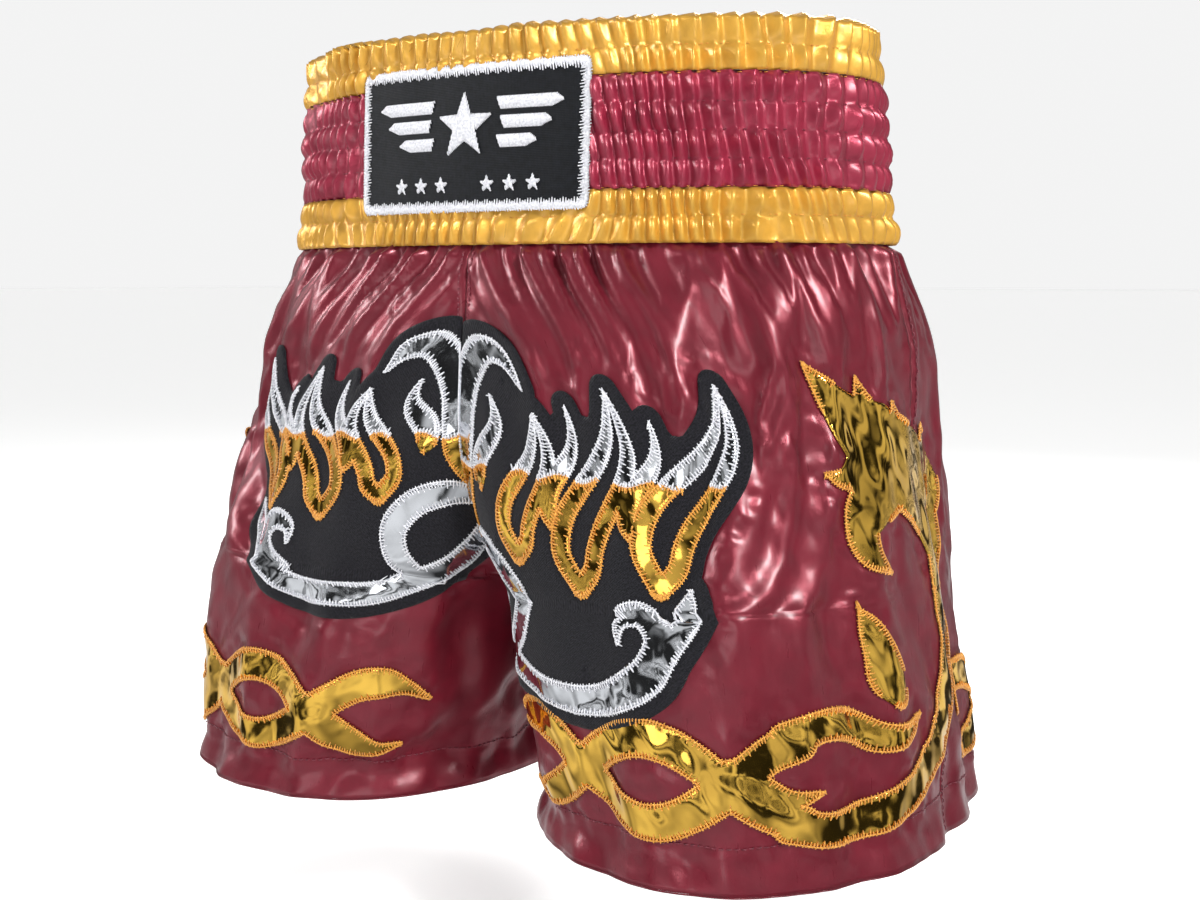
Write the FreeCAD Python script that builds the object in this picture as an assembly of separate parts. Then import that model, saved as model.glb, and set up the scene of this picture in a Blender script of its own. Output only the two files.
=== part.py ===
"""Thai boxing shorts: gathered elastic waistband, satin panels, felt and foil ornaments.

The frame's origin is the centre of the waist opening at its top edge. +Z is up, the front
faces -Y and the wearer's left is +X. Every surface is worked out from one formula, on_body(),
which gives the outside of the cloth at a drop below the top edge and at a distance along the
cloth from the side seam. "Lift" is a height above that outside face, negative inwards.
"""
import FreeCAD, Part
import functools
import math
import os

# ---- driving dimensions, millimetres -------------------------------------------------
WAISTBAND = 102.0          # waistband height, eight rows of elastic
TOP_STRIP = 25.0           # yellow strip along the top
BOTTOM_STRIP = 25.0        # yellow strip along the bottom
LENGTH = 385.0             # top edge to hem
CROTCH_DROP = 260.0        # top edge to the crotch point
ROUNDNESS = 2.3            # exponent of the rounded section, 2 would be an ellipse

# drop, half width at the side seam, front depth, back depth, inner edge of one leg.
# A negative inner edge means that the two legs' sections merge across the middle.
STATIONS = [
    (0.0, 164.0, 90.0, 88.0, -164.0),
    (102.0, 173.0, 95.0, 92.0, -173.0),
    (150.0, 193.0, 117.0, 113.0, -98.0),
    (200.0, 200.0, 132.0, 126.0, -62.0),
    (260.0, 206.0, 128.0, 121.0, 0.0),
    (320.0, 210.0, 130.0, 122.0, 10.0),
    (385.0, 214.0, 131.0, 122.0, 18.0),
]

PANEL = 1.2                # satin with its backing, as one sheet
STRIP = 3.0                # gathered satin of the waistband, thickness of its puffs
ELASTIC = 1.5
LINING = 0.9
GAP = 0.2                  # between the waistband's layers
LOOSE_GAP = 0.6            # between the satin and the seams inside it
FOIL_GAP = 0.15            # between the felt and its foil, and between crossing foils
STITCH_ROW = 0.6           # width of a row of stitches around the waistband
FELT = 1.0
FELT_GAP = 1.1             # the felt is stiff and stands off the satin
FOIL = 0.5
SEAM = 0.8
SEAM_WIDTH = 12.0          # both folded allowances of a side seam
HEM = 22.0                 # height of the turned-up hem
STITCHES = 0.4             # height of the stitch rows above the gathered satin

LABEL = (-72.0, 64.0, 17.0, 85.0)    # left, right, top and bottom on the waistband's front
LABEL_EDGE = 3.5           # width of its stitched border
LABEL_CLOTH = 1.0
LABEL_THREAD = 0.6         # height of its border and of what is stitched on it
TAG_WIDTH = 36.0
TAG_DROPS = (92.0, 122.0)
TAG = 0.6                  # thickness of the tag and of the buttonholes' threads

HINGE_DROP = 200.0         # the hip line, where a leg of the shorts swings
SWING_FORWARD = 15.0       # degrees
SWING_BACK = 10.0

LEFT, RIGHT = 1, -1
SIDES = {"left": LEFT, "right": RIGHT}
FRONT, BACK = 1, -1
FACES = {"front": FRONT, "back": BACK}


# ---- the shape of the cloth ------------------------------------------------------------
def slopes(xs, ys):
    """Slopes of a curve through the points that doesn't overshoot them."""
    steps = [xs[i + 1] - xs[i] for i in range(len(xs) - 1)]
    rises = [(ys[i + 1] - ys[i]) / steps[i] for i in range(len(steps))]
    out = [rises[0]]
    for i in range(1, len(rises)):
        before, after = rises[i - 1], rises[i]
        if before * after <= 0.0:
            out.append(0.0)
            continue
        w1 = 2.0 * steps[i] + steps[i - 1]
        w2 = steps[i] + 2.0 * steps[i - 1]
        out.append((w1 + w2) / (w1 / before + w2 / after))
    out.append(rises[-1])
    return out


DROPS = [row[0] for row in STATIONS]
COLUMNS = [[row[k] for row in STATIONS] for k in range(1, 5)]
SLOPES = [slopes(DROPS, column) for column in COLUMNS]


@functools.lru_cache(None)
def section(drop):
    """Half width, front depth, back depth and inner edge at a drop."""
    drop = min(max(drop, DROPS[0]), DROPS[-1])
    i = min(sum(1 for d in DROPS[1:] if d <= drop), len(DROPS) - 2)
    h = DROPS[i + 1] - DROPS[i]
    u = (drop - DROPS[i]) / h
    out = []
    for column, slope in zip(COLUMNS, SLOPES):
        value = column[i] * (1 + 2 * u) * (1 - u) ** 2 + column[i + 1] * u * u * (3 - 2 * u)
        value += h * (slope[i] * u * (1 - u) ** 2 - slope[i + 1] * u * u * (1 - u))
        out.append(value)
    return out


def signed_power(value, power):
    return math.copysign(abs(value) ** power, value)


def on_section(drop, angle):
    """A point of the rounded section; angle 0 is the side seam, negative angles are in front."""
    side, front, back, inner = section(drop)
    centre, half = (side + inner) / 2, (side - inner) / 2
    depth = front if angle < 0 else back
    x = centre + half * signed_power(math.cos(angle), 2 / ROUNDNESS)
    y = depth * signed_power(math.sin(angle), 2 / ROUNDNESS)
    return x, y


def end_angle(drop):
    """The angle at which the section meets the middle seam, or the inseam lower down."""
    side, _, _, inner = section(drop)
    centre, half = (side + inner) / 2, (side - inner) / 2
    reach = min(1.0, max(0.0, centre / half)) ** (ROUNDNESS / 2)
    return math.pi - math.acos(reach)


ARC_STEPS = 140


@functools.lru_cache(None)
def arc_table(drop, face):
    """Distances along the cloth from the side seam, at even steps of angle."""
    last = end_angle(drop)
    lengths = [0.0]
    previous = on_section(drop, 0.0)
    for k in range(1, ARC_STEPS + 1):
        point = on_section(drop, -face * last * k / ARC_STEPS)
        lengths.append(lengths[-1] + math.dist(previous, point))
        previous = point
    return lengths


def reach(drop, face):
    """Cloth from the side seam to the middle seam or the inseam."""
    return arc_table(drop, face)[-1]


def angle_at(drop, along):
    """The angle at a distance along the cloth, positive to the front, from the side seam."""
    face = FRONT if along >= 0 else BACK
    lengths = arc_table(drop, face)
    target = min(abs(along), lengths[-1])
    low, high = 0, ARC_STEPS
    while high - low > 1:
        middle = (low + high) // 2
        if lengths[middle] <= target:
            low = middle
        else:
            high = middle
    part = (target - lengths[low]) / (lengths[high] - lengths[low])
    return -face * end_angle(drop) * (low + part) / ARC_STEPS


def on_body(side, along, drop, lift=0.0):
    """The point of the garment at a place on the cloth, raised along the outward normal."""
    angle = angle_at(drop, along)
    x, y = on_section(drop, angle)
    step = 0.02
    x1, y1 = on_section(drop, angle - step)
    x2, y2 = on_section(drop, angle + step)
    around = FreeCAD.Vector(x2 - x1, y2 - y1, 0)
    x3, y3 = on_section(drop - 0.5, angle)
    x4, y4 = on_section(drop + 0.5, angle)
    down = FreeCAD.Vector(x4 - x3, y4 - y3, -1.0)
    normal = down.cross(around)
    normal.normalize()
    point = FreeCAD.Vector(max(x, 0.0), y, -drop) + normal * lift
    return FreeCAD.Vector(side * point.x, point.y, point.z)


def edge_at_joint(side_of_gap, face, across):
    """Drop of the cloth's cut edge at the hip, for a column of the panel.

    The hip line runs from the crotch up to the side seam. The gap beside it grows with the
    distance in front of or behind the hinge, so that neither edge meets the other.
    """
    swing = SWING_FORWARD if face == FRONT else SWING_BACK
    drop = CROTCH_DROP
    for _ in range(30):
        x, y = on_section(drop, angle_at(drop, face * reach(drop, face) * across))
        line = CROTCH_DROP + 7.0 - (CROTCH_DROP + 5.0 - HINGE_DROP) * max(x, 0.0) / 204.0
        half_gap = abs(y) * math.tan(math.radians(swing / 2)) + 2.0
        target = line + side_of_gap * half_gap
        if side_of_gap < 0:
            target = min(target, CROTCH_DROP - 0.5)
        drop += 0.5 * (target - drop)
    return drop


# ---- solids ----------------------------------------------------------------------------
def patch(outer, inner):
    """A closed sheet between two grids of points of the same size."""
    skins = []
    for grid in (outer, inner):
        surface = Part.BSplineSurface()
        surface.interpolate(grid)
        skins.append(surface)
    faces = [skin.toShape() for skin in skins]
    for iso, low_high in (("uIso", (0, 1)), ("vIso", (2, 3))):
        for k in low_high:
            edges = [getattr(skin, iso)(skin.bounds()[k]).toShape() for skin in skins]
            faces.append(Part.makeRuledSurface(edges[0], edges[1]))
    closed = Part.makeCompound(faces)
    closed.sewShape(0.01)
    solid = Part.Solid(closed.Shells[0])
    if solid.Volume < 0:
        solid.reverse()
    return solid


def sheet(side, place, rows, columns, low, high):
    """A sheet over place(u, v) -> (along, drop), between two lifts."""
    grids = []
    for lift in (high, low):
        grid = []
        for i in range(rows + 1):
            line = []
            for k in range(columns + 1):
                along, drop = place(i / rows, k / columns)
                line.append(on_body(side, along, drop, lift))
            grid.append(line)
        grids.append(grid)
    return patch(grids[0], grids[1])


def closed_section(side, drop, lift):
    """The whole closed outline at a drop: the waist, or one leg below the crotch."""
    steps = 72
    points = []
    for k in range(steps):
        angle = 2 * math.pi * (k + 0.5) / steps - math.pi
        x, y = on_section(drop, angle)
        x1, y1 = on_section(drop, angle - 0.02)
        x2, y2 = on_section(drop, angle + 0.02)
        normal = FreeCAD.Vector(y2 - y1, x1 - x2, 0)
        normal.normalize()
        points.append(FreeCAD.Vector(side * (x + normal.x * lift), y + normal.y * lift, -drop))
    curve = Part.BSplineCurve()
    curve.interpolate(points, PeriodicFlag=True)
    return Part.Wire(curve.toShape())


def ring(side, top, bottom, low, high):
    """A closed band of cloth around the waist or around a leg."""
    drops = [top, (2 * top + bottom) / 3, (top + 2 * bottom) / 3, bottom]
    outside = Part.makeLoft([closed_section(side, d, high) for d in drops], True)
    inside = Part.makeLoft([closed_section(side, d, low) for d in drops], True)
    return outside.cut(inside)


def curve_through(points, u):
    """A smooth curve through a few points of the flat pattern."""
    last = len(points) - 1
    i = min(int(u * last), last - 1)
    f = u * last - i
    p1, p2 = points[i], points[i + 1]
    p0 = points[i - 1] if i else p1
    p3 = points[i + 2] if i + 2 <= last else p2
    out = []
    for a, b, c, d in zip(p0, p1, p2, p3):
        out.append(0.5 * (2 * b + (c - a) * f + (2 * a - 5 * b + 4 * c - d) * f * f
                          + (3 * b - a - 3 * c + d) * f ** 3))
    return out


def ribbon(side, points, width, low, high, tip=0.15):
    """A flat ribbon along a curve of the pattern, narrowed towards both ends."""
    def place(u, v):
        along, drop = curve_through(points, v)
        a0, d0 = curve_through(points, max(0.0, v - 0.01))
        a1, d1 = curve_through(points, min(1.0, v + 0.01))
        run = math.hypot(a1 - a0, d1 - d0)
        taper = tip + (1 - tip) * math.sin(math.pi * v) ** 0.5
        offset = width * taper * (u - 0.5)
        return along - offset * (d1 - d0) / run, drop + offset * (a1 - a0) / run
    return sheet(side, place, 3, 6 * len(points), low, high)


PARTS = {}


def add(node, solids):
    """Keep one node: one solid, or a group of separate solids."""
    solids = solids if isinstance(solids, list) else [solids]
    PARTS[node] = solids[0] if len(solids) == 1 else Part.makeCompound(solids)


# ---- waistband -------------------------------------------------------------------------
def waistband():
    low = -STRIP
    middle_end = WAISTBAND - BOTTOM_STRIP
    add("waistband_top_strip", ring(LEFT, 0.0, TOP_STRIP - GAP, low, 0.0))
    add("waistband_middle_strip", ring(LEFT, TOP_STRIP, middle_end - GAP, low, 0.0))
    add("waistband_bottom_strip", ring(LEFT, middle_end, WAISTBAND, low, 0.0))
    core = low - GAP
    add("waistband_elastic", ring(LEFT, 1.0, WAISTBAND - 1.0, core - ELASTIC, core))
    face = core - ELASTIC - GAP
    add("waistband_lining", ring(LEFT, 1.0, WAISTBAND - 1.0, face - LINING, face))
    rows = [WAISTBAND * k / 8 for k in range(1, 8)]
    half = STITCH_ROW / 2
    add("waistband_stitch_rows", [ring(LEFT, d - half, d + half, 0.05, STITCHES) for d in rows])
    return face - LINING


WAIST_ROWS, WAIST_COLUMNS = 4, 20


def on_waist(places, low, high):
    """Flat pieces on the waistband; each is (left, right, top, bottom) from the middle front."""
    solids = []
    for left, right, top, bottom in places:
        grids = []
        for lift in (high, low):
            grid = []
            for i in range(WAIST_ROWS + 1):
                drop = top + (bottom - top) * i / WAIST_ROWS
                line = []
                for k in range(WAIST_COLUMNS + 1):
                    offset = left + (right - left) * k / WAIST_COLUMNS
                    side = LEFT if offset >= 0 else RIGHT
                    along = reach(drop, FRONT) - abs(offset)
                    line.append(on_body(side, along, drop, lift))
                grid.append(line)
            grids.append(grid)
        solids.append(patch(grids[0], grids[1]))
    return solids


def label():
    """Woven patch: a raised border, a middle block and two bars for its emblem, and six studs."""
    left, right, top, bottom = LABEL
    low = STITCHES + 4 * GAP
    high = low + LABEL_CLOTH
    add("label_backing", on_waist([LABEL], low, high))
    edge = LABEL_EDGE
    frame = [(left, right, top, top + edge), (left, right, bottom - edge, bottom),
             (left, left + edge, top + edge, bottom - edge),
             (right - edge, right, top + edge, bottom - edge)]
    raised = (high + GAP, high + GAP + LABEL_THREAD)
    add("label_border", on_waist(frame, *raised))
    middle = (left + right) / 2
    block, bar_start, bar_end = 16.0, 22.0, 54.0
    bars = [(middle - bar_end, middle - bar_start, 34.0, 56.0),
            (middle + bar_start, middle + bar_end, 34.0, 56.0),
            (middle - block, middle + block, 29.0, 61.0)]
    add("label_emblem", on_waist(bars, *raised))
    stud, pitch = 3.5, 12.0
    studs = []
    for hand in (-1, 1):
        for k in range(3):
            centre = middle + hand * (18.0 + pitch * k)
            studs.append((centre - stud, centre + stud, 70.0, 77.0))
    add("label_small_stars", on_waist(studs, *raised))


def inside_waist(inner_face):
    """Two buttonholes for a drawcord, and a blank size tag that hangs from the band at the back."""
    face = inner_face - GAP
    holes = [(-24.0, -12.0, 47.0, 53.0), (12.0, 24.0, 47.0, 53.0)]
    add("drawcord_buttonholes", on_waist(holes, face - TAG, face))
    top, bottom = TAG_DROPS
    bow = 2.8                  # how far the tag's sides curl forwards
    rows, columns = 4, 8
    skins = []
    for lift in (face, face - TAG):
        grid = []
        for i in range(rows + 1):
            drop = top + (bottom - top) * i / rows
            y = section(top - 4.0)[2] + lift
            line = []
            for k in range(columns + 1):
                share = 2.0 * k / columns - 1.0
                line.append(FreeCAD.Vector(share * TAG_WIDTH / 2, y - bow * share * share, -drop))
            grid.append(line)
        skins.append(grid)
    add("size_tag", patch(skins[0], skins[1]))


# ---- satin panels ------------------------------------------------------------------------
def upper_place(face, top, first=0.0, last=1.0, bottom=None):
    """Rows run from the waistband to the hip line, closer together near the crotch."""
    @functools.lru_cache(None)
    def end(across):
        return bottom if bottom else edge_at_joint(-1, face, across)

    def place(u, v):
        across = last + (first - last) * v
        drop = top + (end(across) - top) * math.sin(math.pi / 2 * u)
        return face * reach(drop, face) * across, drop
    return place


def leg_place(face, top=None, bottom=LENGTH, first=0.0, last=1.0):
    @functools.lru_cache(None)
    def start(across):
        return top if top else edge_at_joint(1, face, across)

    def place(u, v):
        across = last + (first - last) * v
        drop = start(across) + (bottom - start(across)) * u
        return face * reach(drop, face) * across, drop
    return place


def panels():
    """Front and back panels, each cut at the hip line into a fixed and a swinging part."""
    for face_name, face in FACES.items():
        for name, side in SIDES.items():
            top = WAISTBAND + GAP
            upper = sheet(side, upper_place(face, top), 18, 30, -PANEL, 0.0)
            add(f"{face_name}_panel_{name}_hip", upper)
            leg = sheet(side, leg_place(face), 20, 36, -PANEL, 0.0)
            add(f"{face_name}_panel_{name}_leg", leg)


CENTRE_SEAM_END = 226.0     # above the gusset
GUSSET_DROPS = (232.0, 254.0)
INSEAM_START = 274.0
INSEAM_WIDTH = 8.0


def seams():
    """Folded seam allowances, which lie on the inside of the cloth."""
    high = -PANEL - LOOSE_GAP
    low = high - SEAM
    end = LENGTH - HEM - 2.0
    for face_name, face in FACES.items():
        solids = []
        for side in (LEFT, RIGHT):
            place = upper_place(face, WAISTBAND + 1.0, 0.965, 0.993, CENTRE_SEAM_END)
            solids.append(sheet(side, place, 12, 3, low, high))
        add(f"centre_{face_name}_seam", solids)
    gusset = []
    for side in (LEFT, RIGHT):
        for face in (FRONT, BACK):
            place = leg_place(face, *GUSSET_DROPS, 0.88, 0.992)
            gusset.append(sheet(side, place, 6, 4, low, high))
    add("crotch_gusset", gusset)
    for name, side in SIDES.items():
        def side_strip(top, bottom):
            def place(u, v):
                return SEAM_WIDTH * (v - 0.5), top + (bottom - top) * u
            return sheet(side, place, 6, 3, low, high)
        add(f"side_seam_{name}_hip", side_strip(WAISTBAND + 1.0, HINGE_DROP - 3.0))
        add(f"side_seam_{name}_leg", side_strip(HINGE_DROP + 5.0, end))

        def inseam(u, v):
            drop = INSEAM_START + (end - INSEAM_START) * u
            return reach(drop, FRONT) - INSEAM_WIDTH * (1 - v), drop
        add(f"inseam_{name}", sheet(side, inseam, 6, 3, low, high))
        add(f"leg_hem_{name}", ring(side, LENGTH - HEM, LENGTH - 0.5, low, high))


# ---- ornaments, laid out on the flat pattern ---------------------------------------------
# Points are (distance in front of the side seam, drop).
FELT_TOP = {
    "left": [(128, 172), (160, 172), (195, 168), (222, 150), (247, 142)],
    "right": [(118, 180), (150, 170), (175, 160), (208, 145), (247, 140)],
}
FELT_BOTTOM = {
    "left": [(150, 245), (165, 290), (205, 311), (258, 306), (296, 240)],
    "right": [(122, 226), (165, 250), (210, 262), (250, 272), (298, 240)],
}
SILVER_FLAMES = {
    "left": [[(136, 178), (152, 189), (180, 187), (196, 178)], [(204, 190), (214, 176), (236, 158)]],
    "right": [[(126, 184), (150, 180), (182, 176), (200, 162)], [(206, 188), (216, 172), (238, 156)]],
}
GOLD_FLAMES = {
    "left": [[(166, 203), (184, 200), (202, 202)], [(214, 203), (238, 200), (262, 204)]],
    "right": [[(134, 197), (162, 194), (192, 197)], [(204, 200), (232, 198), (262, 203)]],
}
SCROLLS = {
    "left": [[(262, 300), (236, 302), (206, 300), (182, 290), (176, 276)]],
    "right": [[(262, 276), (240, 280), (216, 278), (196, 272)]],
}
HEM_RIBBONS = [
    [(262, 334), (200, 330), (150, 346), (100, 358), (52, 350)],
    [(262, 350), (214, 357), (150, 322), (100, 310), (50, 322)],
    [(-20, 322), (-70, 330), (-120, 354), (-180, 352), (-240, 334)],
    [(-20, 352), (-70, 346), (-120, 320), (-180, 326), (-240, 352)],
]
SIDE_FLAME_HIP = [(72, 158), (58, 172), (46, 186)]
SIDE_FLAME_LEG = [(2, 222), (-10, 250), (0, 290), (10, 318), (16, 342)]
TEARDROP = [(58, 262), (54, 280), (52, 302)]


def edge_on_cloth(face, along, side_of_gap):
    """Drop of the cut edge at the hip for a distance along the cloth."""
    drop = 230.0
    for _ in range(30):
        length = reach(drop, face)
        across = min(1.0, abs(along) / length)
        drop += 0.5 * (edge_at_joint(side_of_gap, face, across) - drop)
    return drop


def felt_place(name, lower):
    """Between the top and bottom outlines, stopped at the cut edge of the hip line."""
    @functools.lru_cache(None)
    def ends(v):
        top = curve_through(FELT_TOP[name], v)
        bottom = curve_through(FELT_BOTTOM[name], v)
        middle = (top[0] + bottom[0]) / 2
        above = edge_on_cloth(FRONT, middle, -1) - 7.0
        below = edge_on_cloth(FRONT, middle, 1) + 7.0
        return top, bottom, above, below

    def place(u, v):
        top, bottom, above, below = ends(v)
        start = max(below, top[1]) if lower else top[1]
        stop = max(bottom[1], start + 3.0) if lower else min(bottom[1], above)
        drop = start + (stop - start) * u
        share = min(1.0, max(0.0, (drop - top[1]) / (bottom[1] - top[1])))
        along = top[0] + (bottom[0] - top[0]) * share
        return min(along, reach(drop, FRONT) - 5.0), drop
    return place


FLAME_WIDTHS = (("silver_flames", SILVER_FLAMES, 9.0), ("gold_flames", GOLD_FLAMES, 7.0),
                ("silver_scroll", SCROLLS, 8.0))
HEM_RIBBON_WIDTH = 11.0
SIDE_FLAME_WIDTHS = (24.0, 26.0)
TEARDROP_WIDTH = 20.0


def ornaments():
    """Felt with foil on it, and the foil bands that lie straight on the satin."""
    felt_high = FELT_GAP + FELT
    foil_low = felt_high + FOIL_GAP
    layers = [(GAP + (FOIL + FOIL_GAP) * k, GAP + (FOIL + FOIL_GAP) * k + FOIL) for k in range(3)]
    for name, side in SIDES.items():
        for part, lower in (("hip", False), ("leg", True)):
            felt = sheet(side, felt_place(name, lower), 10, 30, FELT_GAP, felt_high)
            add(f"felt_backing_{name}_{part}", felt)
        for node, layout, width in FLAME_WIDTHS:
            add(f"{node}_{name}", [ribbon(side, points, width, foil_low, foil_low + FOIL)
                                   for points in layout[name]])
        add(f"gold_hem_ribbons_{name}", [ribbon(side, points, HEM_RIBBON_WIDTH, *layers[k % 2])
                                         for k, points in enumerate(HEM_RIBBONS)])
        hip_width, leg_width = SIDE_FLAME_WIDTHS
        add(f"gold_side_flame_{name}_hip", ribbon(side, SIDE_FLAME_HIP, hip_width, *layers[0]))
        add(f"gold_side_flame_{name}_leg", ribbon(side, SIDE_FLAME_LEG, leg_width, *layers[2]))
        add(f"gold_teardrop_{name}", ribbon(side, TEARDROP, TEARDROP_WIDTH, *layers[0]))


def main():
    inner_face = waistband()
    label()
    inside_waist(inner_face)
    panels()
    seams()
    ornaments()
    os.makedirs("parts", exist_ok=True)
    for node, shape in PARTS.items():
        shape.exportStep(f"parts/{node}.step")
    print(len(PARTS), "nodes")


main()
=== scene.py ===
import functools
import math

import bpy
import numpy as np
from bpy.props import FloatProperty, FloatVectorProperty, PointerProperty
from bpy.types import Operator, Panel, PropertyGroup
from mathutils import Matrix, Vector


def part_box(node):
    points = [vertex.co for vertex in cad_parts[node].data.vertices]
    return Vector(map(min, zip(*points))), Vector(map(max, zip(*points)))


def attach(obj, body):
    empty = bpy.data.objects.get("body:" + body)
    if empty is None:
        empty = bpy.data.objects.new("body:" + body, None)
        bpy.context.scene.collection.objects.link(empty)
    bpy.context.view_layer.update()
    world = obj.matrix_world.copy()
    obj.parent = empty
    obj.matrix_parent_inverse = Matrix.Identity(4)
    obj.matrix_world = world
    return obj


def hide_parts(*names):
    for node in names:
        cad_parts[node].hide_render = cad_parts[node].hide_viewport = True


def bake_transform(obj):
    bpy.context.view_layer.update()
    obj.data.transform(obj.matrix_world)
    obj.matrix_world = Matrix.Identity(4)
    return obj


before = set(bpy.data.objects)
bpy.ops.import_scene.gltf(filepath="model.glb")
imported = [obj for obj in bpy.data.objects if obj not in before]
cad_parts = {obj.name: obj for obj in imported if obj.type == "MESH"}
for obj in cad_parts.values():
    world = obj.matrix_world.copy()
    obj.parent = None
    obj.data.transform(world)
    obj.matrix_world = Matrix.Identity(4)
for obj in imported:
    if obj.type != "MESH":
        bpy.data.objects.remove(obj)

bl_info = {
    "name": "Thai Boxing Shorts",
    "version": (1, 0, 0),
    "blender": (4, 5, 0),
    "location": "View3D > Sidebar > Shorts",
    "description": "Builds satin Thai boxing shorts around their packed frame",
    "category": "Mesh",
}

MM = 0.001
LEFT, RIGHT = 1, -1
SIDES = {"left": LEFT, "right": RIGHT}
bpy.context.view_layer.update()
BAND = -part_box("waistband_bottom_strip")[0].z
TOP_STRIP = -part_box("waistband_top_strip")[0].z
BOTTOM_STRIP = BAND - (-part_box("waistband_bottom_strip")[1].z)
LENGTH = -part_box("front_panel_left_leg")[0].z
CROTCH = 0.260
ROUNDNESS = 2.3                 # power of the superellipse that the body's sections follow
HEM = 22 * MM
CLOTH = 0.6 * MM                # thickness of the satin
TINY = 1e-12                    # keeps a division by a length of nothing harmless

# The body's stations: drop below the top edge, half width at the side seam, depth in front,
# depth behind and the inner edge of one leg, which is negative where the legs merge.
STATIONS = np.array([
    (0, 164, 90, 88, -164),
    (102, 173, 95, 92, -173),
    (150, 193, 117, 113, -98),
    (200, 200, 132, 126, -62),
    (260, 206, 128, 121, 0),
    (320, 210, 130, 122, 10),
    (385, 214, 131, 122, 18),
]) * MM


# ---- small helpers -----------------------------------------------------------------------------
def ease(share):
    """Smooth step, 3 s^2 - 2 s^3: level at both ends."""
    return share * share * (3 - 2 * share)


def unit(vectors):
    """Vectors divided by their lengths, along the last axis."""
    return vectors / (np.linalg.norm(vectors, axis=-1)[..., None] + TINY)


def run_along(line):
    """Distance from the start of a line of points to each of them."""
    return np.concatenate(([0], np.cumsum(np.linalg.norm(np.diff(line, axis=0), axis=1))))


def points_at(line, run, at):
    """Points of a line at given distances from its start, straight between its points."""
    return np.stack((np.interp(at, run, line[:, 0]), np.interp(at, run, line[:, 1])), axis=-1)


def round_difference(ring):
    """Difference of each column's two neighbours, on rings whose last column is their first."""
    seam = ring[:, 1:2] - ring[:, -2:-1]
    return np.concatenate((seam, ring[:, 2:] - ring[:, :-2], seam), axis=1)


def differences(distance, along, drop, step):
    """Differences of a distance over one step either way, along and down the drop."""
    return (distance(along + step, drop) - distance(along - step, drop),
            distance(along, drop + step) - distance(along, drop - step))


# ---- the shape of the body, as whole arrays ------------------------------------------------
def monotone(x, y, at):
    """Cubic through (x, y) whose slopes are weighted harmonic means, so it never overshoots."""
    h = np.diff(x)
    d = np.diff(y) / h
    w1, w2 = 2 * h[1:] + h[:-1], h[1:] + 2 * h[:-1]
    same = d[:-1] * d[1:] > 0
    safe = np.where(same, d[:-1] * d[1:], 1.0)
    inner = np.where(same, (w1 + w2) * safe / np.where(same, w1 * d[1:] + w2 * d[:-1], 1.0), 0.0)
    m = np.concatenate(([d[0]], inner, [d[-1]]))
    at = np.clip(at, x[0], x[-1])
    k = np.clip(np.searchsorted(x, at, side="right") - 1, 0, len(h) - 1)
    u = (at - x[k]) / h[k]
    return (y[k] * (1 + 2 * u) * (1 - u) ** 2 + y[k + 1] * u * u * (3 - 2 * u)
            + h[k] * (m[k] * u * (1 - u) ** 2 - m[k + 1] * u * u * (1 - u)))


def stations_at(drop):
    """Half width, front depth, back depth and inner edge at each drop."""
    return [monotone(STATIONS[:, 0], STATIONS[:, k], drop) for k in range(1, 5)]


def section(drop, angle):
    """Superellipse: x = centre + half * cos^(2/n), y = depth * sin^(2/n), signs kept."""
    side, front, back, inner = stations_at(drop)
    centre, half = np.maximum((side + inner) / 2, 0), (side - inner) / 2
    c, s = np.cos(angle), np.sin(angle)
    x = centre + half * np.sign(c) * np.abs(c) ** (2 / ROUNDNESS)
    y = np.where(s < 0, front, back) * np.sign(s) * np.abs(s) ** (2 / ROUNDNESS)
    return x, y


def last_angle(drop):
    """Angle from the side seam to the middle seam, or to the inseam below the crotch."""
    side, _, _, inner = stations_at(drop)
    centre, half = (side + inner) / 2, (side - inner) / 2
    return np.pi - np.arccos(np.clip(centre / half, 0, 1) ** (ROUNDNESS / 2))


def arc(drop, face, steps=400):
    """Angles and distances along the cloth from the side seam, one row per drop."""
    angle = -face * np.linspace(0, 1, steps)[None, :] * last_angle(drop)[:, None]
    x, y = section(np.repeat(drop[:, None], steps, 1), angle)
    run = np.hypot(np.diff(x, axis=1), np.diff(y, axis=1))
    return angle, np.concatenate((np.zeros((len(drop), 1)), np.cumsum(run, axis=1)), axis=1)


def across_rows(drop, share, face):
    """Points on the body at even shares of the cloth from the side seam; share runs 0 to 1."""
    angle, length = arc(drop, face)
    rows = [np.interp(share * row[-1], row, turn) for turn, row in zip(angle, length)]
    x, y = section(np.repeat(drop[:, None], len(share), 1), np.array(rows))
    x = np.maximum(x, 0.0)
    return np.stack((x, y, -np.repeat(drop[:, None], len(share), 1)), axis=2), length[:, -1]


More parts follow.
